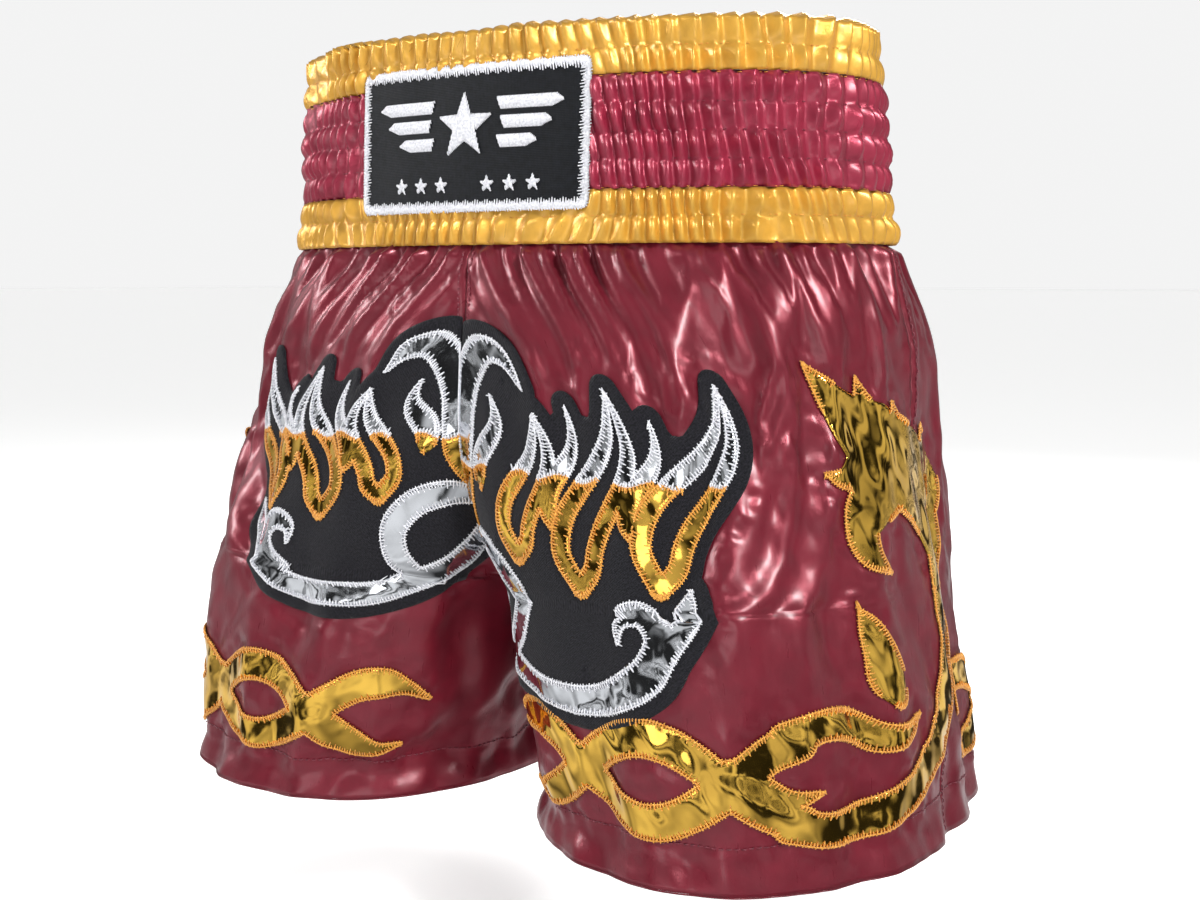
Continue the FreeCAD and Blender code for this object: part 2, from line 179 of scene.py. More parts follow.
# ---- meshes ----------------------------------------------------------------------------------
class Shell:
    """Collects surfaces worked out as arrays and turns them into one closed mesh object."""

    def __init__(self):
        self.points, self.quads, self.places, self.slots, self.sizes = [], [], [], [], []
        self.count = 0

    def add(self, points, quads, places, slot=0):
        """Takes in one closed surface, turned right side out by the sign of its volume."""
        a, b, c, d = (points[quads[:, k]] for k in (0, 1, 2, quads.shape[1] - 1))
        middle = points.mean(axis=0)
        volume = np.einsum("ij,ij->i", a - middle, np.cross(b - middle, c - middle)
                           + (np.cross(c - middle, d - middle) if quads.shape[1] == 4 else 0)).sum()
        if volume < 0:
            quads, places = quads[:, ::-1], places[:, ::-1]
        self.points.append(points)
        self.quads.append(quads + self.count)
        self.places.append(places)
        self.sizes.append(np.full(len(quads), quads.shape[1]))
        self.slots.append(np.full(len(quads), slot))
        self.count += len(points)

    def sheet(self, outer, inner, place, wrap=False, slot=0):
        """Two skins over the same grid, joined along their free edges. wrap joins the last
        column to the first. place gives each grid point's position on the flat cloth."""
        rows, cols = outer.shape[:2]
        unique = cols - 1 if wrap else cols
        size = rows * unique
        points = np.concatenate((outer[:, :unique].reshape(-1, 3), inner[:, :unique].reshape(-1, 3)))

        def corners(i, j, skin):
            return i * unique + j % unique + skin * size

        i, j = np.meshgrid(np.arange(rows - 1), np.arange(cols - 1), indexing="ij")
        i, j = i.ravel(), j.ravel()
        ii = np.stack((i, i + 1, i + 1, i), axis=1)
        jj = np.stack((j, j, j + 1, j + 1), axis=1)
        quads = [corners(ii, jj, 0), corners(ii, jj, 1)[:, ::-1]]
        places = [place[ii, jj], place[ii, jj][:, ::-1]]

        def edge(i0, j0, i1, j1):
            quads.append(np.stack((corners(i0, j0, 0), corners(i1, j1, 0),
                                   corners(i1, j1, 1), corners(i0, j0, 1)), axis=1))
            spots = np.stack((place[i0, j0], place[i1, j1], place[i1, j1], place[i0, j0]), axis=1)
            places.append(spots)

        j = np.arange(cols - 1)
        edge(np.zeros_like(j), j, np.zeros_like(j), j + 1)
        edge(np.full_like(j, rows - 1), j + 1, np.full_like(j, rows - 1), j)
        if not wrap:
            i = np.arange(rows - 1)
            edge(i + 1, np.zeros_like(i), i, np.zeros_like(i))
            edge(i, np.full_like(i, cols - 1), i + 1, np.full_like(i, cols - 1))
        self.add(points, np.concatenate(quads), np.concatenate(places), slot)

    def dress(self, name, *looks):
        """Builds the mesh with the finishes of those names."""
        return self.build(name, [finishes()[look] for look in looks])

    def build(self, name, materials):
        """Builds one mesh object; its name gets an ending where the frame has the plain one."""
        points = np.concatenate(self.points)
        corners = np.concatenate([q.ravel() for q in self.quads])
        places = np.concatenate([p.reshape(-1, 2) for p in self.places])
        sizes = np.concatenate(self.sizes)
        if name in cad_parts:
            name += "_sewn"
        mesh = bpy.data.meshes.new(name)
        mesh.vertices.add(len(points))
        mesh.vertices.foreach_set("co", points.astype(np.float32).ravel())
        mesh.loops.add(len(corners))
        mesh.loops.foreach_set("vertex_index", corners.astype(np.int32))
        mesh.polygons.add(len(sizes))
        first = np.concatenate(([0], np.cumsum(sizes)[:-1]))
        mesh.polygons.foreach_set("loop_start", first.astype(np.int32))
        mesh.polygons.foreach_set("material_index", np.concatenate(self.slots).astype(np.int32))
        mesh.update(calc_edges=True)
        mesh.polygons.foreach_set("use_smooth", np.ones(len(mesh.polygons), dtype=bool))
        layer = mesh.uv_layers.new(name="cloth")
        layer.data.foreach_set("uv", places.astype(np.float32).ravel())
        for material in materials:
            mesh.materials.append(material)
        piece = bpy.data.objects.new(name, mesh)
        bpy.context.scene.collection.objects.link(piece)
        return piece


# ---- noise worked out from sums of sines, the same on every run -----------------------------
def ripple(x, y, seed, octaves=4, rough=0.6):
    """Smooth noise, about -1 to 1: sines in seeded directions, each octave finer and weaker."""
    rng = np.random.default_rng(seed)
    total, weight, scale = np.zeros(np.broadcast(x, y).shape), 0.0, 1.0
    for _ in range(octaves):
        for _ in range(3):
            turn, phase = rng.uniform(0, 2 * np.pi, 2)
            stretch = scale * rng.uniform(0.75, 1.3)
            total = total + (rough ** np.log2(scale)) * np.sin(
                stretch * (x * np.cos(turn) + y * np.sin(turn)) + phase)
        weight += 1.5 * rough ** np.log2(scale)
        scale *= 2.0
    return total / weight


def blur(values, times):
    """Neighbour averaging along both directions of a grid, edges kept."""
    for _ in range(times):
        middle = values.copy()
        middle[1:-1] = (values[:-2] + 2 * values[1:-1] + values[2:]) / 4
        values = middle.copy()
        values[:, 1:-1] = (middle[:, :-2] + 2 * middle[:, 1:-1] + middle[:, 2:]) / 4
    return values


def finer(values, factor):
    """A grid with factor times the cells, through the same points by a cubic."""
    for axis in (0, 1):
        v = np.moveaxis(values, axis, 0)
        n = v.shape[0]
        at = np.linspace(0, n - 1, (n - 1) * factor + 1)
        v = cubic_rows(v, at)
        values = np.moveaxis(v, 0, axis)
    return values


def cubic_rows(v, at):
    """Catmull-Rom cubic between the rows of an array, with straight ends."""
    n = v.shape[0]
    k = np.clip(at.astype(int), 0, n - 2)
    u = (at - k).reshape((-1,) + (1,) * (v.ndim - 1))
    p1, p2 = v[k], v[k + 1]
    p0 = np.where((k > 0).reshape(u.shape), v[np.maximum(k - 1, 0)], 2 * p1 - p2)
    p3 = np.where((k < n - 2).reshape(u.shape), v[np.minimum(k + 2, n - 1)], 2 * p2 - p1)
    return 0.5 * (2 * p1 + (p2 - p0) * u + (2 * p0 - 5 * p1 + 4 * p2 - p3) * u ** 2
                  + (3 * p1 - p0 - 3 * p2 + p3) * u ** 3)


def grid_normals(points):
    """Unit cross product of the slopes down and across a grid."""
    return unit(np.cross(np.gradient(points, axis=0), np.gradient(points, axis=1)))


# ---- the cloth: gathered at the waistband and settled by a simulation --------------------------
ROWS_UPPER, ROWS_LOWER, HALF = 52, 26, 90      # cells down to the crotch, below it, in a panel
FINER = 2                                      # cells of the finished cloth in one that settles
STEPS = 22                                     # steps of the simulation
SMOOTH_PASSES, LOWER_PASSES = 26, 10           # averaging for the ornaments' bed, and for the legs
LOWER_START, LOWER_FADE = 0.19, 0.07           # drop where the legs' averaging starts, and its fade
HOLD, HOLD_LEGS = 0.045, 0.05                  # how firmly the simulation holds the cloth's rows
HOLD_START, HOLD_FADE = 0.2, 0.1               # drop where the legs' firmer hold starts, its fade
HOLD_HEM = 0.4
BED_SINK = 0.35 * MM                           # the cloth lies this far under the ornaments' bed
BAND_STEP = 3 * MM                             # the top row lies this far inside the body's shape
CLOTH_SETTINGS = {
    "quality": 5, "mass": 0.15, "air_damping": 2.0,
    "tension_stiffness": 34.0, "compression_stiffness": 34.0,
    "shear_stiffness": 6.0, "bending_stiffness": 0.3,
    "tension_damping": 8.0, "compression_damping": 8.0, "shear_damping": 8.0,
    "bending_damping": 1.0, "vertex_group_mass": "held", "pin_stiffness": 1.7,
    "use_pressure": True, "uniform_pressure_force": 0.9,
}


def cloth_drops():
    """Drops of the cloth's rows: close under the band and wider down to the crotch, by a power
    of 1.5, then even down to the hem."""
    upper = CROTCH - (CROTCH - BAND + 2 * MM) * np.linspace(1, 0, ROWS_UPPER + 1) ** 1.5
    return np.concatenate((upper, np.linspace(CROTCH, LENGTH, ROWS_LOWER + 1)[1:]))


def body_grid(drop, half):
    """One side of the shorts as a grid: front middle, side seam, back middle, row by row down."""
    share = np.linspace(0, 1, half + 1)
    front, reach_front = across_rows(drop, share[::-1], 1)
    back, reach_back = across_rows(drop, share, -1)
    grid = np.concatenate((front, back[:, 1:]), axis=1)
    along = np.concatenate((reach_front[:, None] * share[None, ::-1],
                            -reach_back[:, None] * share[None, 1:]), axis=1)
    return grid, along


def gathers(drop, along, side):
    """Folds that hang from the elastic: sharp and close at the top, wide and soft further down."""
    seed = 5 if side == LEFT else 9
    down = np.clip((drop - BAND) / (CROTCH - BAND), 0, 1.5)
    wander = 9 * MM * ripple(along * 28, drop * 9, seed, 2)
    fine = np.sin(2 * np.pi * (along + wander) / (12.5 * MM))
    coarse = np.sin(2 * np.pi * (along + 1.6 * wander) / (31 * MM) + 1.1)
    loud = 1 + 0.5 * ripple(along * 40, drop * 5, seed + 1, 2)
    return (2.6 * MM * fine * np.exp(-down * 7.0) + 2.4 * MM * coarse * np.exp(-down * 3.2)) * loud


def settle(start, cut, quads, held):
    """Lets cloth cut to one shape settle from another, held by weights, and returns its points."""
    mesh = bpy.data.meshes.new("settling")
    mesh.from_pydata(start.tolist(), [], quads.tolist())
    piece = bpy.data.objects.new("settling", mesh)
    scene = bpy.context.scene
    scene.collection.objects.link(piece)
    piece.shape_key_add(name="Basis")
    key = piece.shape_key_add(name="cut")
    key.data.foreach_set("co", cut.astype(np.float32).ravel())
    group = piece.vertex_groups.new(name="held")
    for level in np.unique(held):
        group.add(np.flatnonzero(held == level).tolist(), float(level), "REPLACE")
    cloth = piece.modifiers.new("cloth", "CLOTH")
    cloth.settings.rest_shape_key = key
    for setting, value in CLOTH_SETTINGS.items():
        setattr(cloth.settings, setting, value)
    cloth.settings.effector_weights.gravity = 0.16
    cloth.collision_settings.use_collision = False
    cloth.collision_settings.use_self_collision = False
    cloth.point_cache.frame_end = 60
    for step in range(1, STEPS + 1):
        scene.frame_set(step)
    settled = piece.evaluated_get(bpy.context.evaluated_depsgraph_get()).to_mesh()
    out = np.empty(len(settled.vertices) * 3, dtype=np.float32)
    settled.vertices.foreach_get("co", out)
    scene.frame_set(1)
    bpy.data.objects.remove(piece)
    bpy.data.meshes.remove(mesh)
    return out.reshape(-1, 3).astype(float)


def soften(move, drop):
    """Averages along the drop with a bell whose width is 11 mm at the crotch and fades to none
    30 mm above and below it; the middle columns keep their place, so the seams stay closed."""
    width = 11 * MM * np.exp(-((drop - CROTCH) / (30 * MM)) ** 2) + 0.2 * MM
    bell = np.exp(-0.5 * ((drop[:, None] - drop[None]) / width[:, None]) ** 2) * np.gradient(drop)[None]
    bell /= bell.sum(axis=1)[:, None]
    column = np.arange(move.shape[1])
    inside = np.clip(np.minimum(column, column[::-1]) / 12, 0, 1)
    inside = ease(inside)[None, :, None]
    return move * (1 - inside) + np.einsum("ij,jkl->ikl", bell, move) * inside


@functools.lru_cache(None)
def cloth():
    """Both sides of the cloth after settling, as one grid for each side."""
    drop = cloth_drops()
    grid, along = body_grid(drop, HALF)
    rows, cols = along.shape
    depth = np.repeat(drop[:, None], cols, 1)
    normal = grid_normals(grid)
    number = np.arange(rows * cols).reshape(rows, cols)
    numbers = {LEFT: number.copy(), RIGHT: number + rows * cols}
    below = np.arange(rows) > ROWS_UPPER
    for side in (LEFT, RIGHT):
        numbers[side][below, -1] = numbers[side][below, 0]
    upper = ~below
    numbers[RIGHT][upper, 0] = numbers[LEFT][upper, 0]
    numbers[RIGHT][upper, -1] = numbers[LEFT][upper, -1]
    for side in (LEFT, RIGHT):
        numbers[side][ROWS_UPPER, [0, -1]] = numbers[LEFT][ROWS_UPPER, 0]
    start = np.zeros((2 * rows * cols, 3))
    cut = np.zeros_like(start)
    held = np.zeros(len(start))
    wide = 1.015 + 0.34 * np.exp(-np.clip(depth - BAND, 0, 1) / (55 * MM))
    for side in (RIGHT, LEFT):
        fold = gathers(depth, along, side)
        edge = np.minimum(1, np.minimum(np.arange(cols), np.arange(cols)[::-1]) / 4)[None]
        points = grid + normal * (fold * edge)[:, :, None]
        shape = grid * np.stack((wide, wide, np.full_like(wide, 1.005)), axis=2)
        points[:, :, 0] *= side
        shape[:, :, 0] *= side
        start[numbers[side]] = points
        cut[numbers[side]] = shape
        hold = np.round(HOLD + HOLD_LEGS * np.clip((depth - HOLD_START) / HOLD_FADE, 0, 1), 3)
        hold[:2] = 1.0
        hold[-2:] = HOLD_HEM
        held[numbers[side]] = hold
    quads = []
    for side in (LEFT, RIGHT):
        n = numbers[side]
        q = np.stack((n[:-1, :-1], n[1:, :-1], n[1:, 1:], n[:-1, 1:]), axis=2).reshape(-1, 4)
        quads.append(q if side == LEFT else q[:, ::-1])
    quads = np.concatenate(quads)
    used = np.unique(quads)
    back = np.zeros(len(start), dtype=int)
    back[used] = np.arange(len(used))
    points = settle(start[used], cut[used], back[quads], held[used])
    settled = {}
    for side in (LEFT, RIGHT):
        flat = grid * [side, 1, 1]
        move = points[back[numbers[side]]] - flat
        low, high = ROWS_UPPER - 5, ROWS_UPPER + 4
        share = ((drop[low:high] - drop[low]) / (drop[high] - drop[low]))[:, None, None]
        move[low:high] = move[low] * (1 - share) + move[high] * share
        settled[side] = flat + soften(move, drop)
    return settled, along, depth


class Surface:
    """The settled cloth of one side, read at any place on its flat pattern.

    A place is (along, drop): metres in front of the side seam and below the top edge.
    """

    def __init__(self, side):
        coarse, _, _ = cloth()
        self.side = side
        self.drop = cubic_rows(cloth_drops(), np.linspace(0, ROWS_UPPER + ROWS_LOWER,
                                                          (ROWS_UPPER + ROWS_LOWER) * FINER + 1))
        self.points = finer(coarse[side], FINER)
        self.smooth = blur(self.points, SMOOTH_PASSES)
        lower = np.clip((self.drop - LOWER_START) / LOWER_FADE, 0, 1)[:, None, None]
        self.points = self.points * (1 - lower) + blur(self.points, LOWER_PASSES) * lower
        _, self.reach_front = across_rows(self.drop, np.array([1.0]), 1)
        _, self.reach_back = across_rows(self.drop, np.array([1.0]), -1)
        self.half = HALF * FINER
        share = np.linspace(-1, 1, 2 * self.half + 1)[None]
        self.along = np.where(share < 0, -share * self.reach_front[:, None],
                              -share * self.reach_back[:, None])
        self.depth = np.repeat(self.drop[:, None], share.shape[1], 1)
        flat = finer(body_grid(cloth_drops(), HALF)[0] * [side, 1, 1], FINER)
        flat = flat - BAND_STEP * side * grid_normals(flat)
        free = np.clip((self.depth - self.depth[0, 0]) / (8 * MM), 0, 1)[:, :, None]
        free = ease(free)
        self.points = flat * (1 - free) + self.points * free
        last = 2 * self.half
        column = np.arange(last + 1)
        self.edge = np.clip(np.minimum(column, last - column) / 4, 0, 1)[None]
        shared = np.maximum(self.ornament_zone(LEFT)[:, :1], self.ornament_zone(RIGHT)[:, :1])
        near = np.clip(column / 4, 0, 1)[None]
        self.calm = self.ornament_zone(side) * near + shared * (1 - near)
        calm = self.calm[:, :, None]
        folds = self.broad_folds()[:, :, None] * self.outward(self.smooth)
        self.smooth = self.smooth + folds
        self.points = self.points + folds
        self.bed = self.smooth
        self.bed_normal = self.outward(self.bed)
        bed = self.smooth - BED_SINK * self.bed_normal
        self.points = self.points * (1 - calm) + bed * calm
        self.points += self.outward(self.points) * self.details()[:, :, None]
        self.normal = self.outward(self.points)

    def broad_folds(self):
        """Long soft folds that hang down the lower cloth, weaker under the stiff felt."""
        seed = 61 if self.side == LEFT else 64
        felt = distance_to(zone_strokes(self.side)[1], self.along, self.depth)
        stiff = 1 - 0.75 * np.clip(1 - felt / (12 * MM), 0, 1)
        column = np.arange(2 * self.half + 1)
        ends = np.clip(np.minimum(column, column[::-1]) / 14, 0, 1)[None]
        ends = ease(ends)
        start = np.clip((self.depth - BAND) / (70 * MM), 0, 1)
        shape = ripple(self.along * 62, self.depth * 15, seed, 2)
        shape = shape + 0.45 * ripple(self.along * 130, self.depth * 45, seed + 1, 2)
        shape = shape + 0.16 * ripple(self.along * 260 + self.depth * 90, self.depth * 150, seed + 2, 2)
        return 3.6 * MM * shape * stiff * ends * start

    def outward(self, points):
        """Normals; those on the middle seams are level, so that both sides' edges agree."""
        normal = self.side * grid_normals(points)
        upper = self.drop <= CROTCH + 0.01 * MM
        normal[upper, 0] = (0, -1, 0)
        normal[upper, -1] = (0, 1, 0)
        normal[~upper, 0] = normal[~upper, -1] = (-self.side, 0, 0)
        return normal

    def ornament_zone(self, side):
        """1 under the ornaments and for a few millimetres round them, where the cloth lies smooth."""
        distance = np.minimum.reduce([distance_to(strokes, self.along, self.depth)
                                      for strokes in zone_strokes(side)])
        return 1 - np.clip((distance - 2.0 * MM) / (9 * MM), 0, 1) ** 0.7

    def details(self):
        """Small puckers: beside the ornaments' stitches, along the seams and at the waistband."""
        seed = 21 if self.side == LEFT else 22
        beside = self.calm * (1 - self.calm) * 4
        puckers = 0.55 * MM * beside * ripple(self.along * 420, self.depth * 420, seed, 2)
        seam = np.exp(-(self.along / (5 * MM)) ** 2)
        seam_ticks = 0.45 * MM * seam * ripple(self.along * 60, self.depth * 700, seed + 3, 2)
        hem = np.exp(-((self.depth - LENGTH + HEM) / (4 * MM)) ** 2)
        hem_ticks = 0.4 * MM * hem * ripple(self.along * 620, self.depth * 60, seed + 4, 2)
        band = np.exp(-np.clip(self.depth - BAND, 0, 1) / (14 * MM))
        tucks = 0.9 * MM * band * ripple(self.along * 620, self.depth * 50, seed + 5, 2)
        slubs = 0.22 * MM * (1 - self.calm) * ripple(self.along * 190, self.depth * 120, seed + 6, 3)
        stitched = -0.5 * MM * np.exp(-((self.depth - LENGTH + HEM) / (1.2 * MM)) ** 2)
        pinch = -0.8 * MM * np.exp(-(self.along / (1.1 * MM)) ** 2)
        reach = np.where(self.along >= 0, self.reach_front[:, None], self.reach_back[:, None])
        pinch -= 0.9 * MM * np.exp(-((reach - np.abs(self.along)) / (1.4 * MM)) ** 2)
        centre = np.exp(-((reach - np.abs(self.along)) / (6 * MM)) ** 2)
        centre_ticks = 0.45 * MM * centre * ripple(self.along * 60, self.depth * 700, 40, 2)
        loose = puckers + seam_ticks + hem_ticks + tucks + slubs + centre_ticks
        return loose * self.edge + stitched + pinch

    def grid_place(self, along, drop):
        """Fractional row and column of a place, straight between the rows' own drops."""
        row = np.interp(drop, self.drop, np.arange(len(self.drop)))
        front = np.interp(drop, self.drop, self.reach_front)
        back = np.interp(drop, self.drop, self.reach_back)
        share = np.where(along >= 0, -along / front, -along / back)
        return row, (np.clip(share, -1, 1) + 1) * self.half

    def at(self, along, drop, lift, bed=True):
        """Points raised above the smooth bed that the ornaments lie on, or above the cloth."""
        row, col = self.grid_place(along, drop)
        points = read_grid(self.bed if bed else self.points, row, col)
        normal = unit(read_grid(self.bed_normal if bed else self.normal, row, col))
        return points + normal * np.asarray(lift)[..., None], normal


def read_grid(values, row, col):
    """Catmull-Rom reading of a grid of vectors at fractional rows and columns."""
    def weights(u):
        return [0.5 * (-u + 2 * u * u - u ** 3), 0.5 * (2 - 5 * u * u + 3 * u ** 3),
                0.5 * (u + 4 * u * u - 3 * u ** 3), 0.5 * (-u * u + u ** 3)]
    r = np.clip(row.astype(int), 0, values.shape[0] - 2)
    c = np.clip(col.astype(int), 0, values.shape[1] - 2)
    wr, wc = weights(row - r), weights(col - c)
    total = 0.0
    for i in range(4):
        for j in range(4):
            rr = np.clip(r + i - 1, 0, values.shape[0] - 1)
            cc = np.clip(c + j - 1, 0, values.shape[1] - 1)
            total = total + values[rr, cc] * (wr[i] * wc[j])[..., None]
    return total


@functools.lru_cache(None)
def surface(side):
    """The cloth of one side, made once."""
    return Surface(side)


# ---- ornaments: unions of strokes on the flat pattern ------------------------------------------
# A stroke is a list of (along, drop, width) in millimetres, joined by a smooth curve.
def flame(foot, tip, width, bend, spread=0.0, count=10):
    """A tongue of flame: its line swings aside by one turn of a sine, plus spread times a swell
    that rises from the foot and falls away to the tip. Its width is that swell, or, where the
    line is spread, even until it narrows to the tip."""
    t = np.linspace(0, 1, count)
    swell = 2.23 * t ** 0.4 * (1 - t) ** 0.9
    run = np.subtract(tip, foot)
    aside = np.array([-run[1], run[0]]) / np.hypot(*run)
    line = foot + run * t[:, None] + aside * (bend * np.sin(2 * np.pi * t) + spread * swell)[:, None]
    wide = width * np.maximum(1 - t ** 4 if spread else swell, 0.06)
    return [tuple(p) for p in np.column_stack((line, wide))]


def open_flame(foot, tip, width, bend, spread):
    """Two ribbons that part at the foot and meet at the tip, with the felt showing between."""
    return [flame(foot, tip, width, bend, spread), flame(foot, tip, width, bend, -spread)]


EMBLEM = [
    [(294, 236, 1), (287, 226, 8), (280, 212, 12), (276, 196, 13), (269, 176, 14), (257, 159, 14),
     (243, 149, 12), (231, 152, 9), (224, 165, 1)],
    flame((263, 213), (247, 170), 11, 4),
    *open_flame((240, 240), (220, 176), 8.5, 4, 9),
    flame((218, 226), (202, 172), 9, 4),
    *open_flame((203, 252), (178, 164), 9, 6, 10),
    flame((176, 228), (160, 176), 9, 4),
    *open_flame((162, 249), (124, 160), 9, 7, 10.5),
]
SCROLL = [
    [(292, 238, 6), (277, 236, 10), (260, 243, 12), (249, 258, 13), (251, 275, 12), (262, 288, 9)],
    [(298, 250, 6), (288, 266, 10), (272, 284, 12), (246, 298, 12), (220, 303, 13), (194, 301, 14),
     (171, 289, 16), (163, 273, 15), (172, 261, 11), (183, 264, 7), (184, 275, 1)],
    [(147, 250, 1), (151, 263, 11), (161, 278, 12)],
]
INFILL = [
    [(250, 162, 26), (266, 196, 40), (278, 224, 44)],
    [(232, 186, 46), (222, 230, 66), (222, 262, 66), (246, 274, 40)],
    [(276, 236, 30), (272, 258, 40), (262, 276, 30)],
    [(190, 192, 34), (178, 225, 50), (196, 268, 44)],
    [(150, 196, 30), (150, 222, 26), (160, 240, 30)],
]
EMBLEM_TOP = 0.141         # drop that a shallower emblem is measured from
SPLIT = 203.0              # silver foil above this drop, gold foil below
FLAME_JOIN = 262           # drop where the side flame meets the hem band
FELT_MARGIN = 7.0
FAR_RISE = 0.80            # the right half of the emblem is this much shallower


def wave(first, last, phase, count=15):
    """A ribbon of the hem band: a sine along the hem, narrowed to a point at its free end."""
    along = np.linspace(first, last, count)
    drop = 335 + 19 * np.sin(2 * np.pi * (along - 62) / 152 + phase)
    width = 16.5 * np.clip(np.abs(along - first) / 26, 0.1, 1)
    return [tuple(p) for p in np.stack((along, drop, width), axis=1)]


HEM_BAND = [
    wave(276, 106, np.pi),
    wave(264, 106, 0.0),
    [(112, 354, 16), (86, 358, 16), (56, 354, 18), (28, 343, 20), (6, 322, 23), (-7, 294, 25),
     (-12, FLAME_JOIN, 28)],
    [(112, 316, 16), (94, 311, 14), (78, 313, 14), (62, 321, 13), (48, 322, 9), (34, 316, 1)],
    [(150, 335, 1), (137, 326, 7), (126, 335, 12), (112, 342, 9), (96, 340, 1)],
    wave(-34, -196, 0.0),
    wave(-246, -30, np.pi),
]
SIDE_FLAME = [
    [(-12, FLAME_JOIN, 28), (-13, 240, 36), (-4, 220, 44), (14, 206, 44), (34, 194, 40), (52, 182, 30),
     (64, 170, 17), (77, 152, 1)],
    [(18, 206, 38), (32, 188, 28), (42, 176, 14), (46, 160, 1)],
    [(-2, 212, 38), (12, 196, 26), (20, 186, 12), (23, 173, 1)],
    [(-20, 220, 30), (-14, 202, 18), (-10, 186, 1)],
    [(32, 206, 34), (48, 214, 30), (58, 226, 20), (55, 240, 12), (42, 250, 1)],
    [(52, 200, 20), (66, 204, 9), (76, 201, 1)],
]
TEARDROP = [[(66, 260, 1), (61, 272, 11), (57, 284, 17), (54, 295, 20), (50, 304, 12)]]


def curve(points, per=14):
    """Catmull-Rom curve through rows of numbers, with per samples between two of them."""
    rows = np.array(points, dtype=float)
    return cubic_rows(rows, np.linspace(0, len(rows) - 1, (len(rows) - 1) * per + 1))


def drawn(strokes, rise=1.0):
    """Strokes as dense arrays of (along, drop, half width) in metres."""
    out = []
    for points in strokes:
        rows = curve(points) * MM
        rows[:, 1] = EMBLEM_TOP + (rows[:, 1] - EMBLEM_TOP) * rise
        rows[:, 2] = np.maximum(rows[:, 2], 0.3 * MM) / 2
        out.append(rows)
    return out


NEAR = 14 * MM             # distances past this aren't worked out


def distance_to(strokes, along, drop):
    """Signed distance to a union of strokes: nearest centre-line sample, less its half width."""
    best = np.full(along.shape, 1.0)
    flat_a, flat_d, flat_best = along.ravel(), drop.ravel(), best.ravel()
    for rows in strokes:
        far = NEAR + rows[:, 2].max()
        near = np.flatnonzero((flat_a > rows[:, 0].min() - far) & (flat_a < rows[:, 0].max() + far)
                              & (flat_d > rows[:, 1].min() - far) & (flat_d < rows[:, 1].max() + far))
        if not len(near):
            continue
        a, d = flat_a[near][:, None], flat_d[near][:, None]
        gap = np.hypot(a - rows[None, :, 0], d - rows[None, :, 1]) - rows[None, :, 2]
        flat_best[near] = np.minimum(flat_best[near], gap.min(axis=1))
    return flat_best.reshape(along.shape)


def side_rise(side):
    """How tall one half of the emblem is, as a share of the left half."""
    return 1.0 if side == LEFT else FAR_RISE


def felt_strokes(side):
    """The felt's strokes: the emblem's and the scroll's, each wider by a margin, and the infill."""
    rise = side_rise(side)
    return [rows + [0, 0, FELT_MARGIN * MM] for rows in drawn(EMBLEM + SCROLL, rise)], drawn(INFILL, rise)


def zone_strokes(side):
    """Everything sewn on one side, in the groups whose distances are worked out together."""
    return [*felt_strokes(side), drawn(HEM_BAND + SIDE_FLAME + TEARDROP)]


def box_of(strokes):
    """The part of the flat pattern that the strokes reach, with a small margin."""
    low = np.min([(rows[:, :2] - rows[:, 2:]).min(axis=0) for rows in strokes], axis=0) - 2 * MM
    high = np.max([(rows[:, :2] + rows[:, 2:]).max(axis=0) for rows in strokes], axis=0) + 2 * MM
    return (low[0], high[0]), (low[1], high[1])


